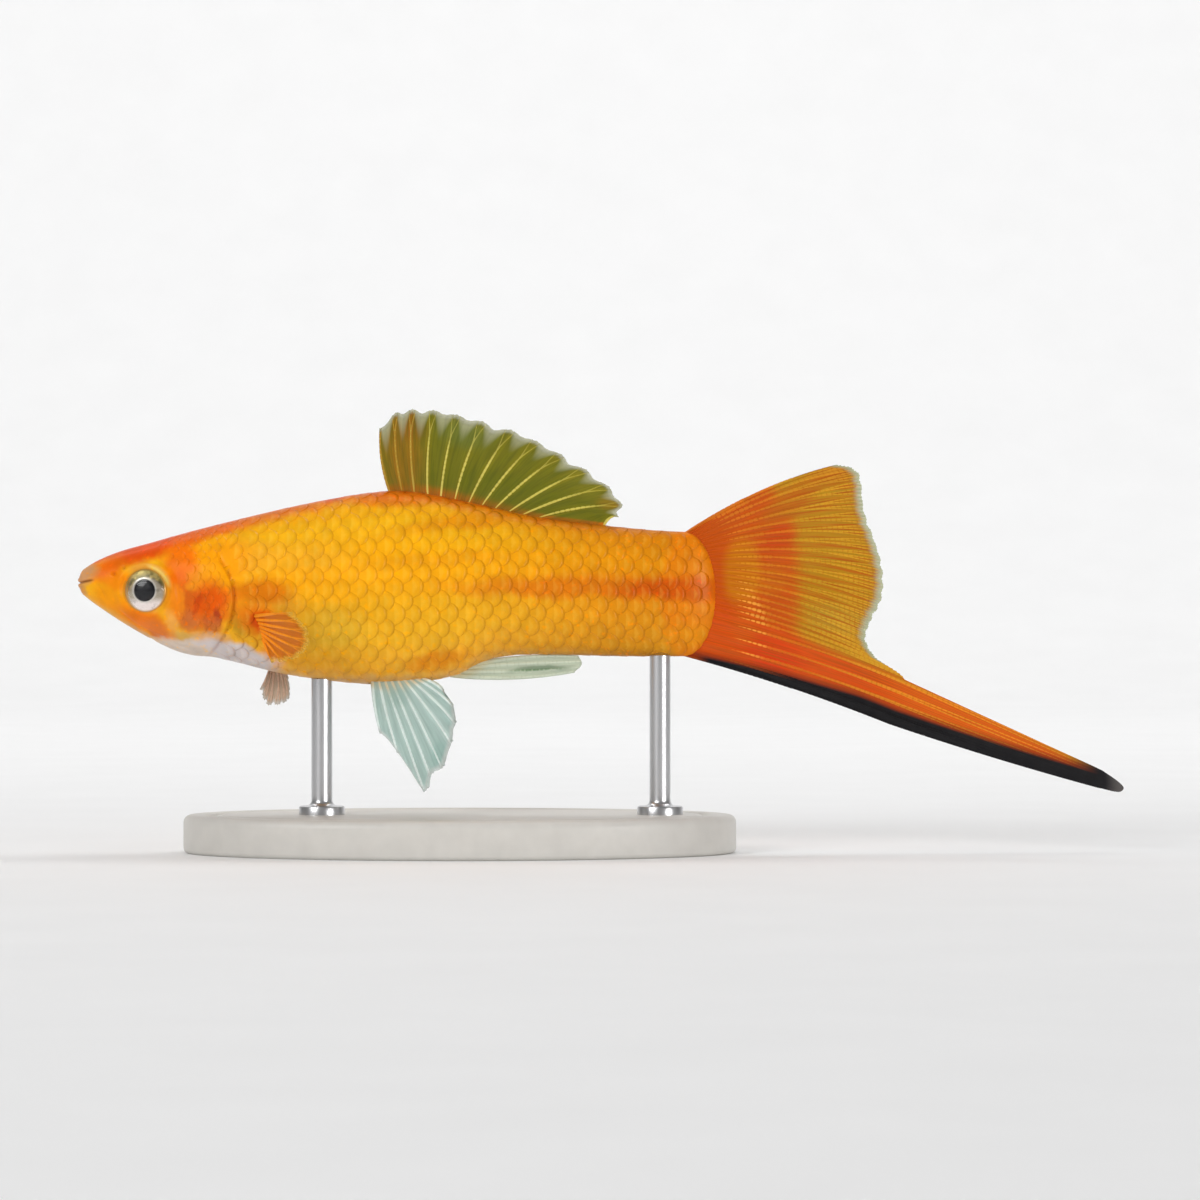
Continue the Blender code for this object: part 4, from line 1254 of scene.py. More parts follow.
class PieceTree:
    """Geometry Nodes tree with named inputs that grows a piece out of simple geometry."""

    def __init__(self, name: str, source: str, kinds: dict[str, str]) -> None:
        """Starts the tree.

        Args:
            name: the tree's name.
            source: name of the input for the simple geometry.
            kinds: the kind of each further input.
        """
        self.tree = bpy.data.node_groups.new(name, "GeometryNodeTree")
        face = self.tree.interface
        face.new_socket(source, in_out="INPUT", socket_type="NodeSocketGeometry")
        self.keys = {
            word: face.new_socket(word, in_out="INPUT", socket_type=f"NodeSocket{kind}").identifier
            for word, kind in kinds.items()
        }
        face.new_socket("Piece", in_out="OUTPUT", socket_type="NodeSocketGeometry")
        self.nodes = Nodes(self.tree)
        self.given = self.nodes.add("NodeGroupInput").outputs

    def named(self, kind: str, name: str) -> Socket:
        """A named value of the geometry."""
        return self.nodes.out("GeometryNodeInputNamedAttribute", {"Name": name}, data_type=kind)

    def stored(self, geometry: Socket, kind: str, domain: str, name: str, value: Socket) -> Socket:
        """The geometry with a named value stored on it."""
        inputs = {"Geometry": geometry, "Name": name, "Value": value}
        return self.nodes.out("GeometryNodeStoreNamedAttribute", inputs, data_type=kind, domain=domain)

    def close(self, piece: Socket) -> None:
        """Ends the tree with smooth shading, real geometry and the material.

        Args:
            piece: the geometry that comes out of it.
        """
        nodes, material = self.nodes, self.given["Material"]
        piece = nodes.out("GeometryNodeSetShadeSmooth", {"Geometry": piece})
        piece = nodes.out("GeometryNodeRealizeInstances", {"Geometry": piece})
        piece = nodes.out("GeometryNodeSetMaterial", {"Geometry": piece, "Material": material})
        nodes.feed(nodes.add("NodeGroupOutput").inputs[0], piece)

    def grow(self, thing: bpy.types.Object, settings: dict[str, object]) -> bpy.types.Object:
        """Runs the tree on an object.

        Args:
            thing: the simple geometry.
            settings: the tree's inputs by name.

        Returns:
            The object with the grown piece as plain geometry.
        """
        modifier = thing.modifiers.new(self.tree.name, "NODES")
        modifier.node_group = self.tree
        for name, value in settings.items():
            modifier[self.keys[name]] = value
        return made_plain(thing)


class CoatTree(PieceTree):
    """Geometry Nodes tree that lays a scale at each point of a flat layout, then drapes the coat."""

    def __init__(self) -> None:
        """Builds the tree."""
        kinds = {
            "Scale": "Object", "Sheet": "Object", "Material": "Material", "Span": "Float",
            "Twist": "Float", "Patch": "Float", "Seed": "Int",
        }
        super().__init__("scale_coat", "Layout", kinds)
        nodes, given = self.nodes, self.given
        twist, seed = given["Twist"], given["Seed"]
        tint = self.chance(0.0, 1.0, seed)
        turn = self.chance(nodes.times(twist, -1.0), twist, nodes.plus(seed, 1.0))
        size = self.named("FLOAT", "size")
        inputs = {
            "Points": self.stored(given["Layout"], "FLOAT", "POINT", "tint", tint),
            "Instance": nodes.out("GeometryNodeObjectInfo", {"Object": given["Scale"]}, "Geometry"),
            "Rotation": nodes.out("FunctionNodeEulerToRotation", {0: nodes.joined(z=turn)}),
            "Scale": nodes.joined(size, size, 1.0),
        }
        coat = nodes.out("GeometryNodeInstanceOnPoints", inputs)
        coat = self.drape(nodes.out("GeometryNodeRealizeInstances", {"Geometry": coat}))
        local = nodes.moved(self.named("FLOAT_VECTOR", "plate"), (-0.5, -0.5, 0.0))
        bake = nodes.moved(self.named("FLOAT_VECTOR", "root"), nodes.scaled(local, given["Patch"]))
        self.close(self.stored(coat, "FLOAT2", "CORNER", BAKE_MAP, bake))

    def chance(self, low: object, high: object, seed: object) -> Socket:
        """A random number for each point."""
        return self.nodes.out("FunctionNodeRandomValue", {"Min": low, "Max": high, "Seed": seed}, "Value")

    def drape(self, coat: Socket) -> Socket:
        """Moves the flat coat on to the sheet.

        Args:
            coat: the flat coat, in millimetres.

        Returns:
            The draped coat, with the sheet's level and marks on it.
        """
        nodes, sheet, span = self.nodes, self.given["Sheet"], self.given["Span"]
        surface = nodes.out("GeometryNodeObjectInfo", {"Object": sheet}, "Geometry")
        x, y, height = nodes.parts(nodes.out("GeometryNodeInputPosition"))
        at = nodes.joined(nodes.math("DIVIDE", x, span), nodes.plus(nodes.math("DIVIDE", y, span), 0.5))

        def read(kind: str, name: str) -> Socket:
            """A value of the sheet under each point of the coat, or its place where no name is given.

            Args:
                kind: the value's kind.
                name: its name.

            Returns:
                The value.
            """
            value = self.named(kind, name) if name else nodes.out("GeometryNodeInputPosition")
            layout = self.named("FLOAT_VECTOR", "layout")
            inputs = {"Mesh": surface, "Value": value, "Sample UV": at, "UV Map": layout}
            return nodes.out("GeometryNodeSampleUVSurface", inputs, "Value", data_type=kind)

        under, outward = read("FLOAT_VECTOR", ""), read("FLOAT_VECTOR", "outward")
        # the level, and the painted shade of mouth slit, nostril pits and gill groove
        for name in ("rise", "slit", "gill"):
            coat = self.stored(coat, "FLOAT", "POINT", name, read("FLOAT", name))
        position = nodes.moved(under, nodes.scaled(outward, nodes.times(height, MM)))
        return nodes.out("GeometryNodeSetPosition", {"Geometry": coat, "Position": position})


@dataclass(frozen=True)
class Lattice:
    """Staggered rows of scales over part of the body, in millimetres."""

    pitch: float
    row: float
    reach: tuple[float, float]
    size_jitter: float = 0.05
    place_jitter: float = 0.06


@dataclass(frozen=True)
class Sheet:
    """The open sheet that one side's scales lie on.

    The level of a point is its height along the skin from mid flank.
    """

    side: Side
    thing: bpy.types.Object
    stations: Array
    turns: Array
    level: Array

    def columns(self, x: Array) -> Array:
        """Levels of the sheet's points at distances behind the snout."""
        return self.level[np.clip(np.searchsorted(self.stations, x), 0, len(self.stations) - 1)]

    def turn(self, x: Array, level: Array) -> Array:
        """Angles of places on the sheet."""
        pairs = zip(self.columns(x), np.broadcast_to(level, x.shape))
        return np.array([np.interp(-own, -line, self.turns) for line, own in pairs])


@dataclass
class Scales:
    """The coat of overlapping scales."""

    trunk: Lattice = Lattice(pitch=1.85, row=1.42, reach=(11.0, 66.2))
    head: Lattice = Lattice(pitch=1.0, row=0.8, reach=(7.6, 18.0), size_jitter=0.08, place_jitter=0.05)
    length_share: float = 1.66
    width_share: float = 2.02
    tip_height: float = 0.038
    root_depth: float = 0.06
    dome: float = 0.012
    wall: float = 0.03
    span: float = 90.0
    twist: float = 2.5
    overhang: float = 55.0
    sheet_start: float = 6.5
    sheet_step: float = 0.3
    sheet_turns: int = 150
    row_limit: int = 30
    fin_root: tuple[float, float, float] = (19.2, -4.0, 1.15)
    bare_eye: float = 3.5
    cover_span: tuple[float, float] = (-4.2, 3.6)
    bridge_top: float = 4.2
    bridge_reach: tuple[float, float] = (9.6, 14.0)
    rows: int = 8
    columns: int = 7

    def plate(self, lattice: Lattice, name: str, height: float) -> bpy.types.Object:
        """One scale, flat, with its root at the origin and its free end towards +X.

        Args:
            lattice: the rows that it is made for.
            name: its name.
            height: of its free end.

        Returns:
            A closed plate, in millimetres.
        """
        long, wide = self.length_share * lattice.pitch, self.width_share * lattice.row
        s, t = np.meshgrid(np.linspace(0, 1, self.rows), np.linspace(-1, 1, self.columns), indexing="ij")
        reach = 1 - 0.3 * np.abs(t) ** 2.2 * s - 0.08 * (1 - s) * t**2
        half = 0.72 + 0.28 * np.sin(math.pi * np.clip(s, 0, 0.62) / 1.24)
        half = half * (1 - 0.22 * ramp(0.72, 1.0, s) * np.abs(t)) * wide / 2
        z = -self.root_depth + (height + self.root_depth) * s - self.dome * t**2 * (2.0 - s)
        top = pack(long * s * reach, t * half, z).reshape(-1, 3)
        count = len(top)
        index = np.arange(count).reshape(self.rows, self.columns)
        border = np.concatenate((index[0, :-1], index[:-1, -1], index[-1, :0:-1], index[:0:-1, 0]))
        low = top[border] - np.array((0.0, 0.0, self.wall))
        middle = low.mean(axis=0) - np.array((0.0, 0.0, self.wall))
        points = np.vstack((top, low, middle))
        faces = grid_faces(self.rows, self.columns).tolist()
        around = len(border)
        for k, corner in enumerate(border.tolist()):
            below, below_after = count + k, count + (k + 1) % around
            faces.append([corner, int(border[(k + 1) % around]), below_after, below])
            faces.append([below, below_after, count + around])
        made = mesh_object(name, points, faces)
        uv = pack(s.ravel(), (t.ravel() + 1) / 2)
        uv = np.vstack((uv, uv[border], (0.5, 0.5)))
        self.facing_up(made)
        lay_map(made, "plate", uv[corners(made)])
        return made

    @staticmethod
    def facing_up(made: bpy.types.Object) -> None:
        """Turns the faces of a small closed mesh outwards.

        Args:
            made: the mesh.
        """
        bm = bmesh.new()
        bm.from_mesh(made.data)
        bmesh.ops.recalc_face_normals(bm, faces=bm.faces)
        bm.to_mesh(made.data)
        bm.free()

    def sheet(self, side: Side) -> Sheet:
        """The sheet for one side of the fish, with the numbers that its scales take over.

        Args:
            side: of the fish.

        Returns:
            The sheet.
        """
        stations = np.arange(self.sheet_start, STANDARD_LENGTH - 0.15, self.sheet_step)
        over = math.radians(self.overhang)
        turns = np.linspace(-over, math.pi + over, self.sheet_turns)
        x, turn = np.meshgrid(stations, turns, indexing="ij")
        points = FORM.skin(x, turn)
        on = np.gradient(points, axis=1)
        outward = unit(np.cross(on, np.gradient(points, axis=0)))
        steps = np.linalg.norm(np.diff(points, axis=1), axis=2)
        run = np.concatenate((np.zeros((len(stations), 1)), np.cumsum(steps, axis=1)), axis=1)
        flank = np.array([np.interp(math.pi / 2, turns, row) for row in run])
        level = flank[:, None] - run
        flip = np.array((1.0, -side.value, 1.0))
        flat = points.reshape(-1, 3)
        values = Skin().marks(flat, turn.ravel())
        values["outward"] = outward.reshape(-1, 3) * flip
        made = mesh_object(f"sheet_{side.word}", placed(flat * flip), grid_faces(*x.shape).tolist(), values)
        uv = pack(x / self.span, 0.5 - side.value * level / self.span).reshape(-1, 2)
        lay_map(made, "layout", uv[corners(made)])
        return Sheet(side, made, stations, turns, level)

    def roots(self, lattice: Lattice, sheet: Sheet) -> dict[str, Array]:
        """Where the scales of one lattice grow.

        Args:
            lattice: its rows.
            sheet: that they lie on.

        Returns:
            Flat places, bake places and sizes of the scales.
        """
        side, jitter = sheet.side, lattice.place_jitter
        chance = np.random.default_rng(SEED + side.value + int(lattice.pitch * 100))
        places = []
        start, stop = lattice.reach
        count = int((stop - start) / lattice.pitch)
        for k in range(-self.row_limit, self.row_limit + 1):
            row = [start + (i + 0.5 * (k % 2)) * lattice.pitch for i in range(count + 1)]
            if lattice is self.trunk:
                row = self.first_at_cover(row, k * lattice.row, sheet)
            places += [(x, k * lattice.row) for x in row]
        flat = np.array(places) + chance.uniform(-jitter, jitter, (len(places), 2))
        size = 1 + chance.uniform(-lattice.size_jitter, lattice.size_jitter, len(flat))
        turn = sheet.turn(flat[:, 0], flat[:, 1])
        lines = sheet.columns(flat[:, 0])
        top = np.array([np.interp(0.0, sheet.turns, line) for line in lines])
        bottom = np.array([np.interp(math.pi, sheet.turns, line) for line in lines])
        spot = FORM.base(flat[:, 0], turn, True)
        keep = (flat[:, 1] < top - 0.25 * lattice.row) & (flat[:, 1] > bottom + 0.25 * lattice.row)
        size, keep = self.fitted(lattice, flat, spot, size, keep)
        u, v = FORM.bake_place(flat[:, 0], turn if side is Side.LEFT else 2 * math.pi - turn)
        root = pack(u, FORM.bake_level(v), 0)
        layout = pack(flat[:, 0], -side.value * flat[:, 1], 0)
        return {"layout": layout[keep], "root": root[keep], "size": size[keep]}

    def first_at_cover(self, row: list[float], level: float, sheet: Sheet) -> list[float]:
        """Starts a row of scales right behind the gill cover.

        Args:
            row: distances behind the snout.
            level: of the row on the sheet.
            sheet: that it lies on.

        Returns:
            The row from its first scale behind the cover, with one more at its edge.
        """
        spots = np.arange(11.0, 20.0, 0.1)
        z = FORM.base(spots, sheet.turn(spots, level), True)[:, 2]
        edge = np.where(z > FORM.cover_levels[3], self.nape_edge(z), spots + FORM.before_gill(spots, z))
        first = float(spots[np.argmin(np.abs(spots - edge - 0.1))])
        kept = [x for x in row if x > first + 0.45 * self.trunk.pitch]
        return [first, *kept]

    @staticmethod
    def nape_edge(z: Array) -> Array:
        """Where the trunk's scales start above the gill cover."""
        return 14.0 + 0.4 * (z - 4.0)

    def fitted(
        self, lattice: Lattice, flat: Array, spot: Array, size: Array, keep: Array
    ) -> tuple[Array, Array]:
        """Sizes near the head and fin roots, and which scales stay.

        Args:
            lattice: the scales' rows.
            flat: their flat places.
            spot: their roots on the fish.
            size: their sizes.
            keep: which have stayed so far.

        Returns:
            The sizes and which scales stay.
        """
        x, z = spot[:, 0], spot[:, 2]
        ahead = FORM.before_gill(x, z)
        from_eye = np.hypot(x - FORM.eye_x, z - FORM.eye_z)
        above_cover = z > FORM.cover_levels[3]
        if lattice is self.head:
            long = self.length_share * lattice.pitch
            low, high = self.cover_span
            on_cover = (ahead > long + 0.1) & (z > low) & (z < high) & (z > -3.4 - 0.5 * (x - 10.5))
            nape = above_cover & (x > 7.4 + 0.2 * (z - 4.0)) & (x < self.nape_edge(z) + 0.4)
            start, stop = self.bridge_reach
            bridge = (z >= high) & (z <= self.bridge_top) & (x > start) & (x < stop)
            keep = keep & (on_cover | nape | bridge) & (from_eye > self.bare_eye)
            size = size * (0.72 + 0.28 * ramp(8.0, 13.0, x))
        else:
            behind = np.where(above_cover, x > self.nape_edge(z) - 0.1, ahead < 0.06)
            size = size * (0.8 + 0.2 * ramp(14.5, 22.0, x)) * (1 - 0.18 * ramp(58.0, 64.0, x))
            tip = flat[:, 0] + 1.05 * size * self.length_share * lattice.pitch
            fin_x, fin_z, bare = self.fin_root
            keep = keep & behind & (tip < STANDARD_LENGTH - 0.3) & (np.hypot(x - fin_x, z - fin_z) >= bare)
        return size, keep

    def build(self) -> None:
        """The coat's pieces."""
        tree = CoatTree()
        material = ScaleFinish().build()
        plates = {
            "trunk": self.plate(self.trunk, "scale_trunk", self.tip_height),
            "head": self.plate(self.head, "scale_head", self.tip_height * 0.55),
        }
        for side in Side:
            sheet = self.sheet(side)
            for word, plate in plates.items():
                values = self.roots(getattr(self, word), sheet)
                coat = mesh_object(f"scales_{word}_{side.word}", values.pop("layout"), [], values)
                settings = {
                    "Scale": plate, "Sheet": sheet.thing, "Material": material, "Span": self.span,
                    "Twist": math.radians(self.twist), "Patch": BAKE_PATCH, "Seed": SEED,
                }
                hand_over(tree.grow(coat, settings), "body_skin")
            drop(sheet.thing)
        drop(*plates.values())


# Eyes


@dataclass
class EyeFinish(Finish):
    """Silver iris with a painted pink-white highlight low down and an olive upper part, the iris's own
    olive darkened as painted shadow of the orbit's rim, round a black pupil.
    """

    name: str = "eye"
    pupil: float = PUPIL_RADIUS
    silver_off: tuple[float, float] = (0.1, 0.42)
    silver: tuple[tuple[float, Colour], ...] = (
        (0.25, (0.32, 0.27, 0.19)), (0.5, (0.44, 0.38, 0.29)), (0.75, (0.58, 0.52, 0.43)),
    )
    # painted pink-white highlight on the lower iris
    rosy: Colour = (0.98, 0.87, 0.83)
    # the iris's olive above the silver, darkened as painted shadow of the orbit's rim
    olive_inner: Colour = (0.1, 0.085, 0.025)
    olive_outer: Colour = (0.42, 0.32, 0.08)
    fleck: Colour = (0.5, 0.38, 0.12)
    tan: Colour = (0.5, 0.34, 0.16)
    bright_ring: Colour = (0.85, 0.82, 0.76)
    dusk: Colour = (0.5, 0.5, 0.48)
    rim_gold: Colour = (0.62, 0.33, 0.06)
    black: Colour = (0.003, 0.003, 0.005)

    def build(self) -> bpy.types.Material:
        """Builds the material.

        Returns:
            The material.
        """
        nodes = self.start(roughness=0.25, coat=0.0, coat_roughness=0.05, specular=0.3)
        ring, up, fore = (nodes.number(name) for name in ("ring", "up", "fore"))
        own = nodes.own_place()
        angle = nodes.math("ARCTAN2", up, fore)
        spun = nodes.joined(nodes.times(angle, 3.0), nodes.times(ring, 0.35))
        fibres = nodes.noise(spun, 4.0, 4.0)
        # painted highlight on the lower iris
        silver = nodes.mix(nodes.rise(up, -0.6, -1.5), nodes.blend(fibres, self.silver), self.rosy)
        off_x = nodes.plus(fore, self.silver_off[0])
        off_z = nodes.plus(up, self.silver_off[1])
        from_silver = nodes.length(nodes.joined(off_x, off_z))
        # above the offset silver, the iris's olive with painted shadow of the orbit's rim
        outer = nodes.rise(from_silver, 1.6, 1.95)
        olive = nodes.mix(nodes.rise(from_silver, 1.85, 2.5), self.olive_inner, self.olive_outer)
        olive = nodes.mix(nodes.rise(nodes.noise(own, 1500.0), 0.5, 0.66), olive, self.fleck)
        olive = nodes.mix(nodes.rise(up, -0.2, 0.9), self.tan, olive)
        colour = nodes.mix(nodes.times(outer, 0.95), silver, olive)
        pale = nodes.times(nodes.rise(ring, 1.4, 1.2), nodes.rise(ring, 1.0, 1.1))
        colour = nodes.mix(nodes.times(pale, 0.7), colour, self.bright_ring)
        dusky = nodes.times(nodes.rise(nodes.noise(own, 1800.0, 3.0), 0.54, 0.7), 0.6)
        colour = nodes.mix(dusky, colour, self.dusk, "MULTIPLY")
        rim = nodes.rise(ring, 2.0, 2.24)
        colour = nodes.mix(nodes.times(rim, 0.75), colour, self.rim_gold)
        black = nodes.rise(ring, self.pupil + 0.05, self.pupil - 0.05)
        colour = nodes.mix(black, colour, self.black)
        nodes.feed(self.shader.inputs["Base Color"], colour)
        shine = nodes.times(nodes.minus(1.0, black), 0.35)
        nodes.feed(self.shader.inputs["Metallic"], shine)
        self.relief(nodes, fibres, strength=0.25, depth=0.05)
        return self.material


@dataclass
class CorneaFinish(Finish):
    """Clear, glossy cap over the eye."""

    name: str = "cornea"

    def build(self) -> bpy.types.Material:
        """Builds the material.

        Returns:
            The material.
        """
        nodes = self.start()
        nodes.tree.nodes.remove(self.shader)
        uneven = nodes.noise(nodes.own_place(), 900.0)
        ripple = nodes.out("ShaderNodeBump", {"Height": uneven, "Strength": 0.03, "Distance": 0.02 * MM})
        gloss = nodes.out("ShaderNodeBsdfGlossy", {"Roughness": 0.04, "Normal": ripple})
        clear = nodes.out("ShaderNodeBsdfTransparent")
        share = nodes.times(nodes.out("ShaderNodeFresnel", {"IOR": 1.36}), 0.4)
        both = nodes.out("ShaderNodeMixShader", {0: share, 1: clear, 2: gloss})
        nodes.feed(nodes.tree.nodes["Material Output"].inputs["Surface"], both)
        return self.material


@dataclass
class Eyes:
    """Both eyes: a ball with iris and pupil, and a clear cap."""

    steps: int = 96
    pupil: float = PUPIL_RADIUS
    iris_rise: float = 0.34
    iris_rim: float = 0.05
    pupil_rise: float = 0.42
    depth: float = 1.1
    cap_rise: float = 0.72
    cap_rim: float = 2.2
    cap_wall: float = 0.05
    cap_arc: float = 0.92

    def ball_profile(self) -> Line:
        """Outline of the ball, from the pupil's middle over the iris to the back.

        Returns:
            Pairs of radius and height.
        """
        radius = FORM.eye_radius
        lens = [(self.pupil * s, self.pupil_rise - 0.14 * s * s) for s in (0.0, 0.25, 0.5, 0.72, 0.88)]
        groove = [(self.pupil * 0.97, self.iris_rise - 0.1), (self.pupil * 1.05, self.iris_rise + 0.01)]
        iris = []
        wide, drop_by = radius - 0.08 - self.pupil, self.iris_rim - self.iris_rise
        for s in (0.1, 0.2, 0.35, 0.5, 0.65, 0.8, 0.92):
            iris.append((self.pupil + wide * s, self.iris_rise + drop_by * s**1.4))
        iris += [(radius - 0.06, self.iris_rim - 0.02), (radius - 0.02, self.iris_rim - 0.07)]
        back = [
            (radius * math.cos(turn), -0.1 - self.depth * math.sin(turn))
            for turn in map(math.radians, (0, 12, 26, 42, 58, 74))
        ]
        return tuple(lens + groove + iris + back + [(0.0, -0.1 - self.depth)])

    def cap_profile(self) -> Line:
        """Outline of the clear cap: its outer dome, then its inner one.

        Returns:
            Pairs of radius and height.
        """
        outer, inner = [], []
        low = math.sqrt(1 - self.cap_arc**2)
        for s in np.linspace(0, 1, 12):
            share = (math.sqrt(1 - (self.cap_arc * s) ** 2) - low) / (1 - low)
            outer.append((self.cap_rim * s, self.cap_rise * share))
            inner.append(((self.cap_rim - self.cap_wall) * s, self.cap_rise * share - self.cap_wall))
        return tuple(outer + inner[::-1])

    def piece(self, name: str, profile: Line, side: Side) -> bpy.types.Object:
        """A turned piece set in the head.

        Args:
            name: its name.
            profile: its outline.
            side: of the fish.

        Returns:
            The piece, with each point's place on the eye.
        """
        local, faces = turned(profile, self.steps)
        frame_of_eye = np.array(FORM.eye_frame(side))
        points = local @ frame_of_eye[:3, :3].T + frame_of_eye[:3, 3]
        values = {
            "ring": np.hypot(local[:, 0], local[:, 1]),
            "up": points[:, 2] - FORM.eye_z,
            "fore": FORM.eye_x - points[:, 0],
        }
        return smooth(mesh_object(name, placed(points), faces, values), 50.0)

    def build(self) -> None:
        """The four pieces."""
        iris, clear = EyeFinish().build(), CorneaFinish().build()
        for side in Side:
            ball = self.piece(f"eye_ball_{side.word}", self.ball_profile(), side)
            hand_over(ball, "eye", f"eye_{side.word}", finish=iris)
            cap = self.piece(f"eye_cap_{side.word}", self.cap_profile(), side)
            hand_over(cap, "eye", finish=clear)


# Fins


@dataclass(frozen=True)
class FinColours:
    """Colours of one fin, and the opacity of one wall of its web."""

    body: Colour
    root: Colour
    margin: Colour
    ray: Colour
    joint: Colour
    gap: Colour = (0.05, 0.03, 0.01)
    marks: tuple[Mark, ...] = ()
    ray_marks: tuple[Mark, ...] = ()
    root_reach: float = 0.18
    margin_width: float = 0.8
    within: float = 0.72
    at_margin: float = 0.3
    between: float = 0.3
    streaks: float = 0.0
    inlets: tuple[float, float] = (0.0, 0.0)
    ray_share: tuple[float, float] = (0.55, 0.55)
    banded: bool = False


@dataclass
class FinFinish(Finish):
    """Web or rays of a fin."""

    name: str
    look: FinColours
    part: FinPart
    red_within: ClassVar[tuple[float, float]] = (76.6, 74.4)
    red_below: ClassVar[tuple[float, float]] = (0.5, -0.9)
    band_run: ClassVar[tuple[float, float]] = (65.5, 82.0)
    band_widths: ClassVar[tuple[float, float]] = (0.3, 1.5)
    band_start: ClassVar[tuple[float, float]] = (64.6, 66.2)
    black_tip: ClassVar[tuple[float, float]] = (103.2, 107.4)
    grey_tip: ClassVar[tuple[float, float]] = (107.6, 109.6)
    inner_red: ClassVar[Colour] = (0.6, 0.085, 0.001)
    lower_red: ClassVar[Colour] = (0.68, 0.075, 0.001)
    band_shade: ClassVar[Colour] = (0.16, 0.014, 0.002)
    blacks: ClassVar[tuple[Colour, Colour]] = ((0.003, 0.003, 0.004), (0.012, 0.011, 0.012))
    tip_grey: ClassVar[Colour] = (0.1, 0.09, 0.085)

    def build(self) -> bpy.types.Material:
        """Builds the material.

        Returns:
            The material.
        """
        look = self.look
        nodes = self.start(roughness=0.4, coat=0.0, coat_roughness=0.15, specular=0.18)
        base, edge, across, share = (nodes.number(name) for name in ("base", "edge", "across", "share"))
        place = nodes.fish_place(0.35)
        rays = self.part is FinPart.RAYS
        grain = nodes.noise(nodes.joined(nodes.times(across, 5.0), nodes.times(base, 3.0)), 1.0, 4.0)
        colour = nodes.mix(nodes.rise(base, look.root_reach * 1.6, 0.02), look.body, look.root)
        if look.banded:
            colour = self.zones(nodes, place, colour)
        for mark in look.marks:
            colour = mark.over(nodes, place, colour)
        if rays:
            colour = nodes.mix(nodes.fit(nodes.rise(base, 0.45, 0.9), *look.ray_share), colour, look.ray)
            for mark in look.ray_marks:
                colour = mark.over(nodes, place, colour)
            colour = nodes.mix(nodes.times(nodes.number("joint"), 0.7), colour, look.joint)
        else:
            gap = nodes.math("ABSOLUTE", nodes.math("SINE", nodes.times(across, math.pi)))
            colour = nodes.mix(nodes.times(nodes.rise(gap, 0.1, 0.9), look.between), colour, look.gap)
            fine = nodes.rise(self.streak(nodes, 11.0), 0.46, 0.6)
            colour = nodes.mix(nodes.times(fine, look.streaks), colour, look.gap)
            depth = nodes.times(nodes.math("POWER", gap, 1.6), nodes.fit(share, *look.inlets))
            fade = nodes.minus(1.0, nodes.math("DIVIDE", edge, nodes.plus(depth, 0.05)))
            colour = nodes.mix(nodes.times(nodes.rise(fade, 0.0, 1.0), 0.85), colour, look.margin)
        waver = 0.3 * look.margin_width
        uneven = nodes.plus(edge, nodes.fit(grain, -waver, waver))
        pale = nodes.rise(uneven, look.margin_width, 0.05 * look.margin_width)
        colour = nodes.mix(pale, colour, look.margin)
        if look.banded:
            colour = self.band(nodes, place, colour)
        nodes.feed(self.shader.inputs["Base Color"], nodes.toned(colour, grain, 0.72, 1.28))
        low, high = (0.75, 1.0) if rays else (look.at_margin, look.within)
        opaque = nodes.rise(edge, 0.0, 1.5 * look.margin_width)
        nodes.feed(self.shader.inputs["Alpha"], nodes.fit(opaque, low, high))
        height = nodes.plus(grain, nodes.noise(nodes.own_place(), 3000.0))
        self.relief(nodes, height, strength=0.3, depth=0.04)
        return self.material

    @staticmethod
    def streak(nodes: Nodes, fineness: float) -> Socket:
        """Noise drawn out along the rays."""
        across, base = nodes.number("across"), nodes.number("base")
        return nodes.noise(nodes.joined(nodes.times(across, fineness), nodes.times(base, 2.0)), 1.0)

    def zones(self, nodes: Nodes, place: Socket, colour: Socket) -> Socket:
        """Lays the red half of the tail and the red of its sword over a colour.

        Args:
            nodes: the material's nodes.
            place: in side view.
            colour: the colour below.

        Returns:
            The colour.
        """
        x, z, _ = nodes.parts(place)
        up = nodes.math("MAXIMUM", nodes.minus(z, 4.5), 0.0)
        line = nodes.math("MULTIPLY_ADD", up, 0.42, x)
        line = nodes.plus(line, nodes.fit(self.streak(nodes, 7.0), -2.2, 2.2))
        inner = nodes.rise(line, *self.red_within)
        below = nodes.math("MULTIPLY_ADD", nodes.minus(x, 75.5), 0.45, nodes.plus(z, 4.6))
        lower = nodes.rise(below, *self.red_below)
        colour = nodes.mix(inner, colour, self.inner_red)
        return nodes.mix(lower, colour, self.lower_red)

    def band(self, nodes: Nodes, place: Socket, colour: Socket) -> Socket:
        """Lays the black band along the tail's lower edge over a colour.

        Args:
            nodes: the material's nodes.
            place: in side view.
            colour: the colour below.

        Returns:
            The colour.
        """
        x, _, _ = nodes.parts(place)
        low = nodes.number("low")
        (start, stop), (narrow, wide) = self.band_run, self.band_widths
        inputs = {"Value": x, "From Min": start, "From Max": stop, "To Min": narrow, "To Max": wide}
        width = nodes.out("ShaderNodeMapRange", inputs)
        shaded = nodes.rise(low, nodes.plus(width, 0.9), width)
        colour = nodes.mix(nodes.times(shaded, 0.75), colour, self.band_shade)
        black = nodes.rise(low, nodes.plus(width, 0.2), nodes.minus(width, 0.2))
        black = nodes.times(black, nodes.rise(x, *self.band_start))
        black = nodes.math("MAXIMUM", black, nodes.rise(x, *self.black_tip))
        dark = nodes.mix(nodes.noise(nodes.own_place(), 900.0), *self.blacks)
        dark = nodes.mix(nodes.rise(x, *self.grey_tip), dark, self.tip_grey)
        return nodes.mix(black, colour, dark)


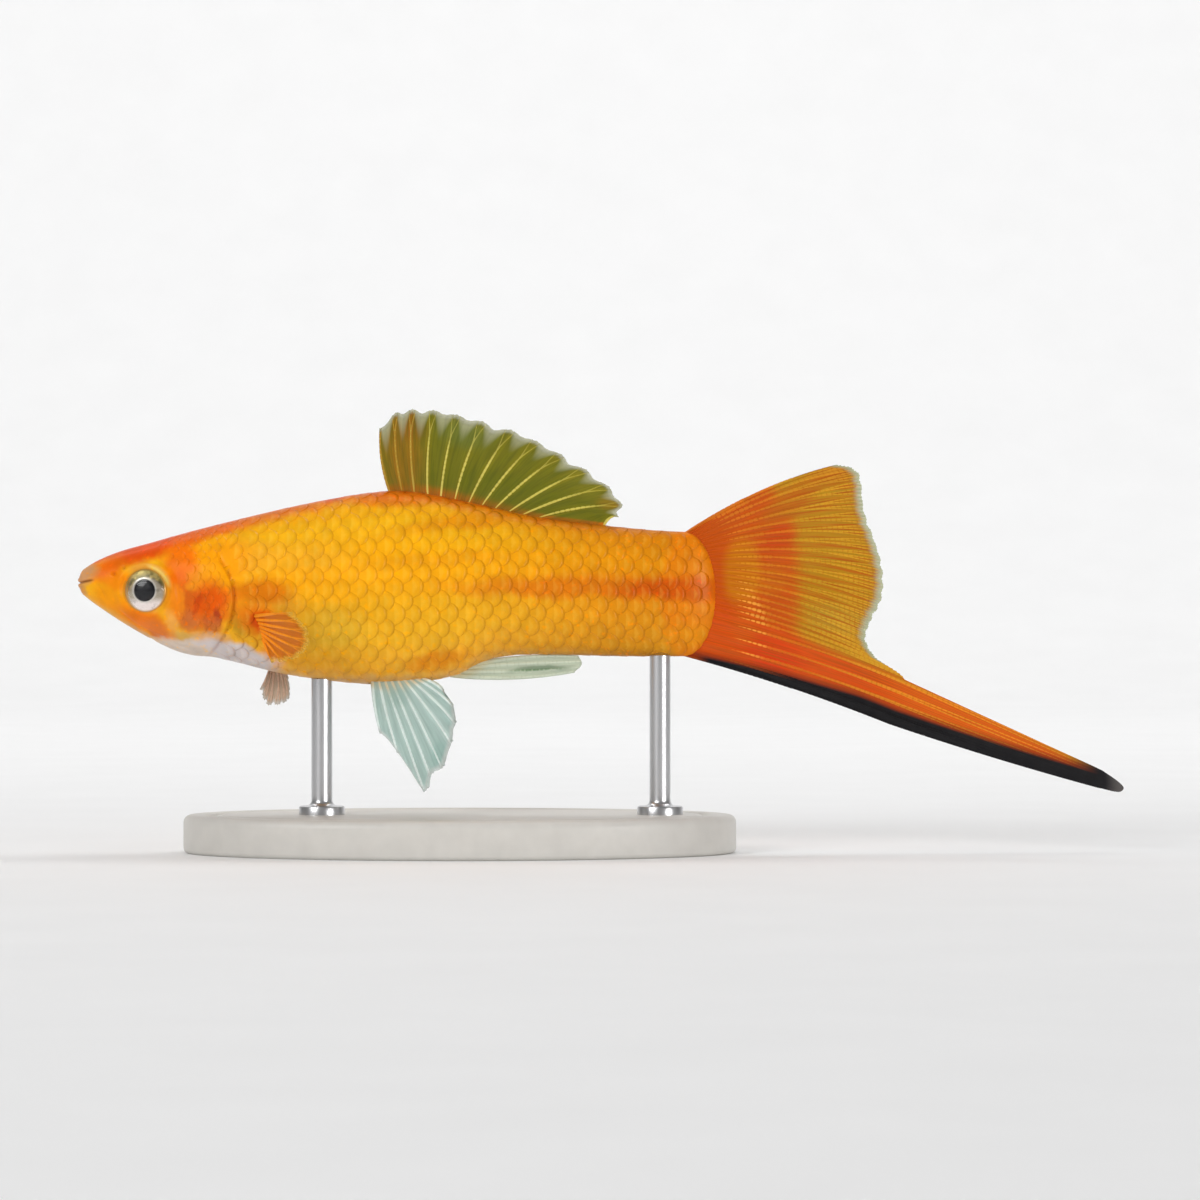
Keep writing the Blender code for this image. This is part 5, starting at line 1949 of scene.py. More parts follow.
class RayTree(PieceTree):
    """Geometry Nodes tree that turns lines into jointed rays."""

    def __init__(self) -> None:
        """Builds the tree."""
        kinds = {"Material": "Material", "Step": "Float", "Pinch": "Float", "Sides": "Int"}
        super().__init__("fin_rays", "Lines", kinds)
        nodes, given = self.nodes, self.given
        curve = nodes.out("GeometryNodeMeshToCurve", {"Mesh": given["Lines"]})
        inputs = {"Curve": curve, "Length": given["Step"]}
        curve = nodes.out("GeometryNodeResampleCurve", inputs, mode="LENGTH")
        run, girth = (self.named("FLOAT", name) for name in ("run", "girth"))
        wave = nodes.math("ABSOLUTE", nodes.math("SINE", nodes.times(run, math.pi)))
        segmented = nodes.rise(self.named("FLOAT", "base"), 0.08, 0.2)
        joint = nodes.times(nodes.rise(wave, 0.42, 0.1), segmented)
        curve = self.stored(curve, "FLOAT", "POINT", "joint", joint)
        thin = nodes.minus(1.0, nodes.times(joint, given["Pinch"]))
        inputs = {"Resolution": given["Sides"], "Radius": 1.0}
        profile = nodes.out("GeometryNodeCurvePrimitiveCircle", inputs)
        inputs = {
            "Curve": curve, "Profile Curve": profile, "Scale": nodes.times(girth, thin),
            "Fill Caps": True,
        }
        self.close(nodes.out("GeometryNodeCurveToMesh", inputs))


@dataclass
class Fin:
    """A fin: a thin web, and branching, jointed rays in it.

    Each kind of fin gives its surface, where u runs along the root and v from the root to the tips.
    Walls and girths are given for root and tip. The value far is past any distance that a finish reads.
    """

    name: str
    slot: str
    nodes: tuple[str, ...]
    look: FinColours
    rays: int
    notch: float
    splits: tuple[float, ...] = (0.42, 0.7)
    fan: float = 0.25
    wall: tuple[float, float] = (0.34, 0.09)
    girth: tuple[float, float] = (0.17, 0.05)
    joint: float = 0.55
    pinch: float = 0.22
    sink: float = 0.6
    columns: int = 14
    rows: int = 44
    end: float = 1.0
    poke: float = 0.05
    far: float = 9.0
    notch_spread: tuple[float, float] = (0.55, 1.35)
    small_notch: float = 0.16
    ray_step: float = 0.11
    ray_sides: int = 6

    def surface(self, u: Array, v: Array) -> Array:
        """Points of the fin in fish millimetres.

        Args:
            u: shares of the way along the root.
            v: shares of the way from the root to the tips.

        Returns:
            The points.
        """
        raise NotImplementedError

    def length(self, u: Array) -> Array:
        """Distance from the root to the tips."""
        return np.linalg.norm(self.surface(u, np.ones_like(u)) - self.surface(u, np.zeros_like(u)), axis=-1)

    def margin(self, u: Array) -> Array:
        """How far the web reaches, with notches between rays and small ones between their branches.

        Args:
            u: shares of the way along the root.

        Returns:
            Shares of the way to the tips.
        """
        deep = np.random.default_rng(SEED).uniform(*self.notch_spread, self.rays)
        gap = u * (self.rays - 1)
        between = 1 - np.abs(2 * (gap % 1.0) - 1)
        cut = deep[np.clip(gap.astype(int), 0, self.rays - 1)] * between**1.3
        cut = cut + self.small_notch * np.abs(np.sin(4 * math.pi * gap))
        return 1 - self.notch * cut / self.length(u)

    def facing(self, u: Array, v: Array) -> Array:
        """Directions across the fin.

        Args:
            u: shares of the way along the root.
            v: shares of the way to the tips.

        Returns:
            Unit vectors.
        """
        step = 2e-3
        along_root = self.surface(u + step, v) - self.surface(u - step, v)
        return unit(np.cross(along_root, self.surface(u, v + step) - self.surface(u, v - step)))

    def values(self, u: Array, v: Array) -> dict[str, Array]:
        """Named numbers that the finish reads.

        Args:
            u: shares of the way along the root.
            v: shares of the way from the root to the tips.

        Returns:
            Share from the root, millimetres to the margin, rays passed, share along the root, and
            millimetres to the lower edge.
        """
        edge = (self.margin(u) - v) * self.length(u)
        gap = u * (self.rays - 1)
        found = {"base": np.clip(v, 0, 1), "edge": edge, "across": gap, "share": u}
        return {**found, "low": np.full(len(u), self.far)}

    def grid(self) -> tuple[Array, Array, Array]:
        """The web's grid.

        Returns:
            u and v of its points, and its faces.
        """
        line = np.linspace(0, 1, (self.rays - 1) * self.columns + 1)
        share, u = np.meshgrid(np.linspace(0, 1, self.rows), line, indexing="ij")
        start = -self.sink / self.length(line)
        v = start + (self.margin(line) - start) * share
        return u.ravel(), v.ravel(), grid_faces(*u.shape)

    def web(self) -> bpy.types.Object:
        """The web, thinner between rays and towards the margin.

        Returns:
            The web as a closed mesh.
        """
        u, v, quads = self.grid()
        values = self.values(u, v)
        start, end = self.wall
        thick = end + (start - end) * (1 - np.clip(v, 0, 1)) ** 3
        thick = thick * (1 - 0.4 * np.sin(math.pi * values["across"]) ** 2)
        points, faces = walled(self.surface(u, v), self.facing(u, v), thick, quads)
        values = {key: np.tile(value, 2) for key, value in values.items()}
        made = mesh_object(f"{self.name}_web", placed(points), faces.tolist(), values)
        made.data.materials.append(FinFinish(f"{self.name}_web", self.look, FinPart.WEB).build())
        return smooth(made, 60.0)

    def forks(self, k: int) -> tuple[float, ...]:
        """Where a ray splits."""
        return self.splits

    def reach(self, k: int, u: Array) -> Array:
        """Where a ray's branches end."""
        return self.margin(u) + self.poke / self.length(u)

    def branches(self, k: int) -> list[tuple[Array, Array, int]]:
        """The stretches of one ray.

        Args:
            k: the ray's number.

        Returns:
            For each stretch u, v and how often the ray has split before it.
        """
        middle = k / (self.rays - 1)
        forks = self.forks(k)
        begin = -self.sink / float(self.length(np.array([middle]))[0])
        found = []
        for level in range(len(forks) + 1):
            for branch in range(2**level):
                signs = [1 if branch >> bit & 1 else -1 for bit in range(level)]
                share = sum(sign * 0.5**i for i, sign in enumerate(signs)) * self.fan / (self.rays - 1)
                last = np.clip(np.array([middle + share]), 0, 1)
                stop = forks[level] if level < len(forks) else float(self.reach(k, last)[0])
                v = np.linspace(begin, stop, 40)
                u = np.full(len(v), middle)
                for i, sign in enumerate(signs):
                    u += sign * self.fan * 0.5**i / (self.rays - 1) * ramp(forks[i], max(1.0, stop), v)
                found.append((np.clip(u, 0, 1), v, level))
            begin = forks[level] if level < len(forks) else begin
        return found

    def lines(self) -> bpy.types.Object:
        """The rays' lines, with their girths and joints.

        Returns:
            The lines as loose edges.
        """
        chance = np.random.default_rng(SEED)
        us, vs, girths, runs, edges = [], [], [], [], []
        count = 0
        for k in range(self.rays):
            shift = chance.uniform()
            for u, v, level in self.branches(k):
                us.append(u)
                vs.append(v)
                start, end = self.girth
                left = np.clip(1 - v / self.end, 0, 1)
                girths.append((end + (start - end) * left**1.2) * 0.8**level)
                runs.append(v * self.length(u) / self.joint + shift)
                edges += [(count + i, count + i + 1) for i in range(len(v) - 1)]
                count += len(v)
        u, v = np.concatenate(us), np.concatenate(vs)
        values = self.values(u, v)
        values.update(girth=np.concatenate(girths) * MM, run=np.concatenate(runs))
        return mesh_object(f"{self.name}_rays", placed(self.surface(u, v)), [], values, edges)

    def build(self, tree: RayTree) -> None:
        """The fin's two pieces.

        Args:
            tree: that makes rays out of lines.
        """
        rays = self.lines()
        material = FinFinish(f"{self.name}_rays", self.look, FinPart.RAYS).build()
        step = self.ray_step * MM
        settings = {"Material": material, "Step": step, "Pinch": self.pinch, "Sides": self.ray_sides}
        hand_over(self.web(), self.slot, *self.nodes)
        hand_over(tree.grow(rays, settings), self.slot)


def between(root: Array, tip: Array, v: Array, bow: Array) -> Array:
    """Points on bowed lines from roots to tips."""
    share = v[..., None]
    return root + (tip - root) * share + bow * 4 * share * (1 - share)


@dataclass
class Dorsal(Fin):
    """The fin on the back."""

    roots: Line = (
        (32.6,), (33.9,), (35.2,), (36.6,), (38.0,), (39.5,), (41.0,), (42.4,), (43.8,), (45.3,), (46.8,),
        (48.6,), (55.1,),
    )
    tips: Line = (
        (31.6, 17.0), (33.2, 18.7), (35.0, 19.1), (37.2, 19.0), (39.7, 18.5), (42.4, 17.8), (45.4, 16.9),
        (48.1, 15.7), (50.7, 14.3), (53.3, 12.7), (55.7, 10.9), (57.1, 9.0), (56.6, 7.75),
    )
    wave: float = 0.45
    bow: float = 0.35

    def surface(self, u: Array, v: Array) -> Array:
        """Points of the fin.

        Args:
            u: shares of the way along the root.
            v: shares of the way to the tips.

        Returns:
            The points.
        """
        root_x = spread(self.roots, u)[..., 0]
        tip = spread(self.tips, u)
        sway = self.wave * np.sin(2 * math.pi * 1.1 * u)
        root = pack(root_x, 0, along(FORM.back, root_x))
        tip = pack(tip[..., 0], sway, tip[..., 1])
        return between(root, tip, v, pack(u - 1, 0, u) * self.bow)


@dataclass
class Tail(Fin):
    """The fan of the tail and the sword that grows out of its lower part."""

    tips: Line = (
        (80.7, 13.4), (82.0, 12.0), (82.4, 8.6), (83.5, 5.4), (84.4, 2.3), (84.3, -0.8), (83.2, -3.1),
        (82.6, -5.0), (83.7, -7.1), (86.7, -9.35), (85.95, -11.7), (85.2, -14.0),
    )
    turns: Line = ((78,), (68,), (57,), (46,), (35,), (24,), (13,), (2,), (-8,), (-20,), (-46,), (-73,))
    sword_tips: Line = ((107.5, -18.9), (109.1, -20.0), (109.8, -20.75), (109.3, -21.2), (107.9, -20.95))
    sword_from: float = 9 / 11
    sword_bow: float = -0.2
    sword_forks: tuple[float, ...] = (0.5,)
    sword_rows: int = 70
    sword_reach: float = 1.97
    smooth_margin: tuple[float, float] = (0.72, 0.8)
    inner_from: tuple[float, float] = (0.74, 0.83)
    corner: float = 1.3
    bow: float = 0.9
    bow_fade: float = 0.65
    root_gap: float = 0.3
    sway: float = 1.3
    sway_run: float = 60.0
    ripple: float = 0.3
    ripple_length: float = 15.0
    ripple_start: tuple[float, float] = (0.0, 12.0)
    ripple_end: tuple[float, float] = (13.0, 19.0)

    def surface(self, u: Array, v: Array) -> Array:
        """Points of the fan for v up to 1 and of the sword beyond.

        Args:
            u: shares of the way along the root.
            v: shares of the way to the tips.

        Returns:
            The points.
        """
        turn = np.radians(spread(self.turns, u)[..., 0])
        flat_end = STANDARD_LENGTH - FORM.tail_cap
        root_x = flat_end + (FORM.tail_cap + self.root_gap) * np.cos(turn)
        reach = along(FORM.back, root_x) - FORM.middle(root_x) + self.root_gap
        root = pack(root_x, FORM.middle(root_x) + reach * np.sin(turn))
        tip = spread(self.tips, u)
        bow = pack(0, self.bow * (1 - self.bow_fade * u))
        flat = between(root, tip, np.minimum(v, 1.0), bow)
        share = (u - self.sword_from) / (1 - self.sword_from)
        sword_bow = pack(0, self.sword_bow * share)
        sword = between(tip, spread(self.sword_tips, share), np.maximum(v - 1, 0.0), sword_bow)
        on_sword = (v > 1) & (share > -0.03)
        flat = np.where(on_sword[..., None], sword, flat)
        x, z = flat[..., 0], flat[..., 1]
        behind = np.maximum(x - STANDARD_LENGTH, 0.0)
        out = self.sway * (1 - np.cos(math.pi * behind / self.sway_run)) / 2
        growing, fading = ramp(*self.ripple_start, behind), 1 - ramp(*self.ripple_end, behind)
        out = out + self.ripple * growing * fading * np.sin(2 * math.pi * z / self.ripple_length)
        return pack(x, out, z)

    def margin(self, u: Array) -> Array:
        """How far the fan's web reaches.

        Args:
            u: shares of the way along the root.

        Returns:
            Shares of the way to the tips.
        """
        notched = 1 - ramp(*self.smooth_margin, u)
        corner = self.corner * (1 - np.minimum(u / 0.08, 1.0)) ** 2 / self.length(u)
        return 1 - (1 - super().margin(u)) * notched - corner

    def values(self, u: Array, v: Array) -> dict[str, Array]:
        """Named numbers that the finish reads.

        Args:
            u: shares of the way along the root.
            v: shares of the way from the root to the tips.

        Returns:
            The numbers of any fin, with the distance to the lower edge.
        """
        found = super().values(u, v)
        start, stop = self.inner_from
        found["edge"] = found["edge"] + 6 * ramp(start, stop, u)
        found["edge"] = np.maximum(found["edge"], np.where(v > 1.02, self.far, -self.far))
        edge_v = np.linspace(-0.05, 2.0, 300)
        edge = self.surface(np.ones(300), edge_v)[:, (0, 2)]
        points = self.surface(u, v)[:, (0, 2)]
        near = np.full(len(u), 99.0)
        for spot in edge:
            near = np.minimum(near, np.hypot(*(points - spot).T))
        found["low"] = near
        return found

    def grid(self) -> tuple[Array, Array, Array]:
        """The web's grid, with the sword's rows after the fan's.

        Returns:
            u and v of its points, and its faces.
        """
        line = np.linspace(0, 1, (self.rays - 1) * self.columns + 1)
        line = np.sort(np.append(line, self.sword_from))
        share, u = np.meshgrid(np.linspace(0, 1, self.rows), line, indexing="ij")
        start = -self.sink / self.length(line)
        v = start + (self.margin(line) - start) * share
        quads = grid_faces(*u.shape)
        wide = line[line >= self.sword_from - 1e-9]
        beyond, sword_u = np.meshgrid(np.linspace(1, 2, self.sword_rows)[1:], wide, indexing="ij")
        index = np.arange(u.size).reshape(u.shape)[-1, -len(wide):]
        index = np.vstack((index, u.size + np.arange(sword_u.size).reshape(sword_u.shape)))
        local = grid_faces(*index.shape)
        quads = np.vstack((quads, index.ravel()[local]))
        return np.append(u, sword_u), np.append(v, beyond), quads

    def forks(self, k: int) -> tuple[float, ...]:
        """Where a ray splits."""
        return self.sword_forks if k / (self.rays - 1) >= self.sword_from else self.splits

    def reach(self, k: int, u: Array) -> Array:
        """Where a ray's branches end.

        Args:
            k: the ray's number.
            u: where its branches end along the root.

        Returns:
            Shares of the way to the tips, beyond 1 on the sword.
        """
        if k / (self.rays - 1) >= self.sword_from:
            return np.full(len(u), self.sword_reach)
        return super().reach(k, u)


@dataclass
class Pectoral(Fin):
    """A fin behind the gill cover."""

    side: Side = Side.LEFT
    tips: Line = ()
    bow: float = 0.0
    bulge: float = 0.5
    root_line: Line = ((18.8, -2.7), (19.6, -4.9))
    root_sink: float = 0.6

    def surface(self, u: Array, v: Array) -> Array:
        """Points of the fin.

        Args:
            u: shares of the way along the root.
            v: shares of the way to the tips.

        Returns:
            The points.
        """
        (x0, z0), (x1, z1) = self.root_line
        root_x, root_z = x0 + (x1 - x0) * u, z0 + (z1 - z0) * u
        out = self.side.value
        root_y = out * (FORM.flank_reach(root_x, root_z) - self.root_sink)
        tip = spread(self.tips, u)
        tip_y = out * (FORM.flank_reach(tip[..., 0], tip[..., 1]) + tip[..., 2])
        tip = pack(tip[..., 0], tip_y, tip[..., 1])
        bow = pack(self.bow * (1 - u), self.bulge * out, 0)
        return between(pack(root_x, root_y, root_z), tip, v, bow)


@dataclass
class Pelvic(Fin):
    """A fin under the belly."""

    side: Side = Side.LEFT
    root_x: tuple[float, float] = (30.9, 36.4)
    offset: float = 1.3
    flare: float = 0.26
    bulge: float = 0.3
    bows: tuple[float, float] = (-0.15, 0.45)
    tips: Line = (
        (31.8, -14.9), (33.6, -16.9), (36.4, -20.9), (37.0, -19.3), (38.2, -18.5), (39.1, -15.9),
        (39.5, -13.9), (39.2, -12.1), (38.2, -10.7),
    )

    def surface(self, u: Array, v: Array) -> Array:
        """Points of the fin.

        Args:
            u: shares of the way along the root.
            v: shares of the way to the tips.

        Returns:
            The points.
        """
        start, stop = self.root_x
        x = start + (stop - start) * u
        out = self.side.value
        full = FORM.belly_fullness
        level = np.sqrt(1 - (self.offset / along(FORM.half_width, x)) ** (2 / full)) ** full
        root_z = FORM.middle(x) - FORM.height(x) * level
        root = pack(x, out * self.offset, root_z)
        tip = spread(self.tips, u)
        tip_y = out * (self.offset + self.flare * (root_z - tip[..., 1]))
        tip = pack(tip[..., 0], tip_y, tip[..., 1])
        ahead, behind = self.bows
        bow = pack((behind - ahead) * u + ahead, self.bulge * out, 0)
        return between(root, tip, v, bow)


@dataclass
class Gonopodium(Fin):
    """The male's rod-like anal fin."""

    root_x: tuple[float, float] = (42.5, 39.7)
    bows: tuple[float, float] = (0.3, -0.45)
    tips: Line = ((52.5, -6.95), (52.8, -7.75), (52.1, -8.5))

    def surface(self, u: Array, v: Array) -> Array:
        """Points of the fin.

        Args:
            u: shares of the way along the root.
            v: shares of the way to the tips.

        Returns:
            The points.
        """
        start, stop = self.root_x
        x = start + (stop - start) * u
        root = pack(x, 0, along(FORM.belly, x))
        tip = spread(self.tips, u)
        tip = pack(tip[..., 0], 0, tip[..., 1])
        above, below = self.bows
        bow = pack(0, 0, above + (below - above) * u)
        return between(root, tip, v, bow)


OLIVE = FinColours(
    body=(0.21, 0.185, 0.005), root=(0.56, 0.15, 0.003), margin=(0.42, 0.42, 0.25), ray=(0.72, 0.62, 0.12),
    joint=(0.5, 0.42, 0.06), gap=(0.07, 0.1, 0.003),
    marks=(
        Mark(34.0, 14.5, 3.2, 7.0, (0.36, 0.15, 0.004), 0.85, 6.0),
        Mark(34.8, 17.5, 2.4, 2.6, (0.34, 0.12, 0.004), 0.6, 20.0),
        Mark(45.5, 10.2, 11.0, 2.8, (0.16, 0.16, 0.002), 0.7, -12.0),
        Mark(40.5, 16.5, 3.5, 2.2, (0.16, 0.21, 0.04), 0.5, -15.0),
        Mark(53.5, 11.5, 4.0, 2.4, (0.26, 0.22, 0.01), 0.7, -28.0),
        Mark(56.0, 9.2, 2.6, 1.2, (0.4, 0.19, 0.01), 0.5),
    ),
    ray_marks=(Mark(33.2, 14.0, 3.9, 7.5, (0.4, 0.2, 0.01), 0.9, 6.0),),
    root_reach=0.08, margin_width=0.55, within=0.94, at_margin=0.55, between=0.3, streaks=0.35,
    inlets=(3.6, 1.3), ray_share=(0.85, 0.2),
)
ORANGE = FinColours(
    body=(0.47, 0.24, 0.006), root=(0.62, 0.12, 0.002), margin=(0.52, 0.54, 0.34), ray=(0.8, 0.4, 0.03),
    joint=(0.56, 0.18, 0.005), gap=(0.48, 0.08, 0.001),
    marks=(
        Mark(74.4, 9.0, 5.0, 2.0, (0.48, 0.13, 0.002), 0.8, 38.0),
        Mark(79.0, 12.2, 4.0, 1.6, (0.5, 0.14, 0.003), 0.8, 20.0),
        Mark(72.8, 1.2, 2.6, 2.2, (0.58, 0.14, 0.001), 0.8),
        Mark(73.5, 5.6, 3.2, 2.0, (0.6, 0.05, 0.001), 0.8, 35.0),
        Mark(72.8, -6.8, 5.0, 2.6, (0.7, 0.035, 0.001), 0.9, -20.0),
        Mark(69.6, 1.9, 2.5, 4.8, (0.62, 0.2, 0.001), 0.95, 0.0, 0.5),
        Mark(69.9, -3.4, 2.2, 3.4, (0.68, 0.1, 0.002), 0.8),
        Mark(79.5, -3.0, 4.4, 2.2, (0.45, 0.29, 0.02), 0.8, -12.0),
        Mark(93.0, -13.5, 14.0, 2.4, (0.78, 0.13, 0.002), 0.9, -24.0),
    ),
    ray_marks=(Mark(70.0, -3.0, 2.2, 5.0, (0.95, 0.44, 0.06), 0.55, 16.0, 0.75),),
    margin_width=1.0, within=0.95, at_margin=0.6, between=0.1, streaks=0.75, inlets=(0.4, 0.4),
    ray_share=(0.25, 0.5), banded=True,
)
PECTORAL = FinColours(
    body=(0.74, 0.24, 0.006), root=(0.68, 0.06, 0.001), margin=(0.82, 0.48, 0.06), ray=(1.0, 0.33, 0.015),
    joint=(0.9, 0.24, 0.006), gap=(0.62, 0.13, 0.001), root_reach=0.3, margin_width=0.9, within=0.85,
    at_margin=0.25, between=0.7, ray_share=(0.9, 0.35),
)
# The far pectoral's colours, brightened to make up for the body's shadow over it: painted light.
PECTORAL_FAR_LIT = FinColours(
    body=(0.62, 0.48, 0.35), root=(1.0, 0.42, 0.12), margin=(0.62, 0.58, 0.5), ray=(0.75, 0.5, 0.38),
    joint=(0.6, 0.4, 0.28), gap=(0.42, 0.28, 0.17), root_reach=0.5, margin_width=0.5, within=0.85,
    at_margin=0.6, between=0.35,
)
PALE = FinColours(
    body=(0.66, 0.78, 0.74), root=(0.6, 0.5, 0.3), margin=(0.62, 0.68, 0.65), ray=(0.84, 0.92, 0.89),
    joint=(0.76, 0.85, 0.82), gap=(0.36, 0.52, 0.47),
    marks=(
        Mark(38.0, -17.0, 1.3, 2.2, (0.2, 0.42, 0.36), 0.6),
        Mark(33.5, -11.2, 1.8, 1.4, (0.3, 0.45, 0.38), 0.6),
    ),
    root_reach=0.1, margin_width=0.7, within=0.8, at_margin=0.55, between=0.7, streaks=0.45,
    ray_share=(0.1, 0.7),
)
GREENISH = FinColours(
    body=(0.55, 0.62, 0.48), root=(0.7, 0.52, 0.16), margin=(0.58, 0.63, 0.52), ray=(0.62, 0.68, 0.55),
    joint=(0.52, 0.58, 0.44), gap=(0.42, 0.48, 0.36),
    marks=(Mark(48.2, -8.25, 4.2, 0.42, (0.05, 0.13, 0.05), 0.9, 4.5),),
    ray_marks=(Mark(48.2, -8.25, 4.2, 0.42, (0.08, 0.18, 0.07), 0.8, 4.5),),
    root_reach=0.1, margin_width=0.2, within=0.92, at_margin=0.7, between=0.4, ray_share=(0.7, 0.7),
)


def fins() -> list[Fin]:
    """All fins, from their sizes.

    Returns:
        The fins.
    """
    near = ((23, -2.3, 5), (24.7, -4, 6.3), (24.7, -5.8, 6.2), (23.1, -7.2, 5), (20.7, -7.5, 3.2))
    far = ((18.8, -10.4, 3.4), (19.4, -12.1, 3.8), (21, -12, 3.6), (21.9, -11.2, 3), (21.8, -9.2, 2))
    made: list[Fin] = [
        Dorsal(
            "dorsal", "fin_olive", ("dorsal_fin",), OLIVE, rays=13, notch=0.5, girth=(0.2, 0.09),
            sink=0.9, splits=(0.66,), fan=0.15,
        ),
        Tail(
            "tail", "fin_orange", ("caudal_fin", "sword"), ORANGE, rays=25, notch=0.2, girth=(0.24, 0.055),
            sink=1.6, wall=(0.6, 0.09), splits=(0.34, 0.64), end=2.0, columns=10, rows=56,
        ),
        Gonopodium(
            "gonopodium", "fin_pale", ("gonopodium",), GREENISH, rays=4, notch=0.0, splits=(),
            girth=(0.3, 0.14), wall=(0.5, 0.2), sink=0.7, joint=0.4, pinch=0.1, poke=-0.05,
        ),
    ]
    for side, tips, bow, look in ((Side.LEFT, near, -0.5, PECTORAL), (Side.RIGHT, far, 1.1, PECTORAL_FAR_LIT)):
        made.append(
            Pectoral(
                f"pectoral_{side.word}", "fin_orange", (f"pectoral_fin_{side.word}",), look,
                rays=8, notch=0.4, girth=(0.27, 0.1), sink=0.3, splits=(0.7,), columns=14, side=side,
                tips=tips, bow=bow,
            )
        )
    for side in Side:
        made.append(
            Pelvic(
                f"pelvic_{side.word}", "fin_pale", (f"pelvic_fin_{side.word}",), PALE,
                rays=9, notch=0.25, girth=(0.21, 0.12), sink=0.7, splits=(), side=side,
            )
        )
    return made


# Stand and stage


@dataclass
class StandFinish(Finish):
    """Satin finish of the plate or brushed finish of the rods."""

    name: str
    colour: Colour
    metallic: float
    roughness: float
    stretch: tuple[float, float, float]

    def build(self) -> bpy.types.Material:
        """Builds the material.

        Returns:
            The material.
        """
        nodes = self.start(self.roughness)
        stretched = nodes.out("ShaderNodeMapping", {"Vector": nodes.own_place(), "Scale": self.stretch})
        grain = nodes.noise(stretched, 1.0, 4.0)
        nodes.feed(self.shader.inputs["Base Color"], nodes.toned(self.colour, grain, 0.9, 1.08))
        low, high = self.roughness * 0.75, self.roughness * 1.25
        nodes.feed(self.shader.inputs["Roughness"], nodes.fit(grain, low, high))
        self.shader.inputs["Metallic"].default_value = self.metallic
        self.relief(nodes, grain, strength=0.06, depth=0.01)
        return self.material


@dataclass
class Stand:
    """Oval plate and two turned rods that carry the model."""

    size: tuple[float, float, float] = (58.0, 32.0, 4.0)
    middle: float = 40.0
    edge: float = 0.8
    groove: tuple[float, float] = (3.0, 0.35)
    groove_half: float = 0.6
    rods: tuple[tuple[str, float], ...] = (("front", 25.5), ("rear", 61.0))
    radius: float = 1.1
    foot: tuple[float, float] = (2.4, 0.9)
    fillet: float = 0.6
    into_belly: float = 0.7
    steps: int = 64

    def outline(self) -> Line:
        """The plate's outline, from the middle of its top to its bottom.

        Returns:
            Pairs of inset and height.
        """
        top = self.size[2]
        inset, deep = self.groove
        half = self.groove_half
        found = [(12.0, top), (inset + half + 0.4, top), (inset + half + 0.3, top)]
        found += [(inset - half * sine, top - deep * cosine) for cosine, sine in arc(-75, 75, 25)]
        found += [(inset - half - 0.3, top), (inset - half - 0.4, top)]
        edge = self.edge
        found += [(edge * (1 - sine), top - edge * (1 - cosine)) for cosine, sine in arc(0, 90, 15)]
        found += [(0.0, top - edge - 0.2), (0.0, 0.5), (0.1, 0.2), (0.4, 0.0), (6.0, 0.0)]
        return tuple(found)

    def plate(self) -> bpy.types.Object:
        """The oval plate.

        Returns:
            The plate as a closed mesh.
        """
        inset, height = (np.array(numbers)[:, None] for numbers in zip(*self.outline()))
        steps = 4 * self.steps
        angle = np.arange(steps) * 2 * math.pi / steps
        long, wide, top = self.size
        x = self.middle + (long / 2 - inset) * np.cos(angle)
        rings = pack(x, (wide / 2 - inset) * np.sin(angle), height - AXIS_HEIGHT).reshape(-1, 3)
        ends = np.array(((self.middle, 0, top - AXIS_HEIGHT), (self.middle, 0, -AXIS_HEIGHT)))
        faces = [face[::-1] for face in tube_faces(len(inset), steps)]
        made = mesh_object("stand_plate", placed(np.vstack((rings, ends))), faces)
        return smooth(made, 40.0)

    def rod(self, word: str, x: float) -> bpy.types.Object:
        """One rod with its foot.

        Args:
            word: the rod's name.
            x: where it stands, behind the snout.

        Returns:
            The rod.
        """
        base = self.size[2]
        foot_radius, foot_height = self.foot
        top = AXIS_HEIGHT + float(along(FORM.belly, np.array(x))) + self.into_belly
        profile = [(0.0, top), (self.radius * 0.6, top - 0.1), (self.radius, top - 0.5)]
        profile += [(self.radius, top - k * (top - base - 2.2) / 6) for k in range(1, 7)]
        shoulder = base + foot_height
        profile += [
            (self.radius + self.fillet * (1 - cosine), shoulder + self.fillet * (1 - sine))
            for cosine, sine in arc(0, 90, 15)
        ]
        ease = 0.2
        profile += [(foot_radius - ease, shoulder), (foot_radius - 0.06, shoulder - 0.06)]
        profile += [(foot_radius, shoulder - ease), (foot_radius, base), (0.0, base - 0.1)]
        points, faces = turned(tuple(profile), self.steps)
        points += np.array((x, 0.0, -AXIS_HEIGHT))
        return smooth(mesh_object(f"stand_pin_{word}", placed(points), faces), 40.0)

    def build(self) -> None:
        """Plate and rods."""
        paint = StandFinish(
            "stand_plate", (0.62, 0.6, 0.56), metallic=0.0, roughness=0.45, stretch=(500.0, 500.0, 500.0)
        )
        hand_over(self.plate(), "stand_base", "stand_base", finish=paint.build())
        steel = StandFinish(
            "stand_steel", (0.62, 0.62, 0.63), metallic=1.0, roughness=0.3, stretch=(2600.0, 2600.0, 60.0)
        ).build()
        for word, x in self.rods:
            hand_over(self.rod(word, x), "stand_rod", f"stand_rod_{word}", finish=steel)


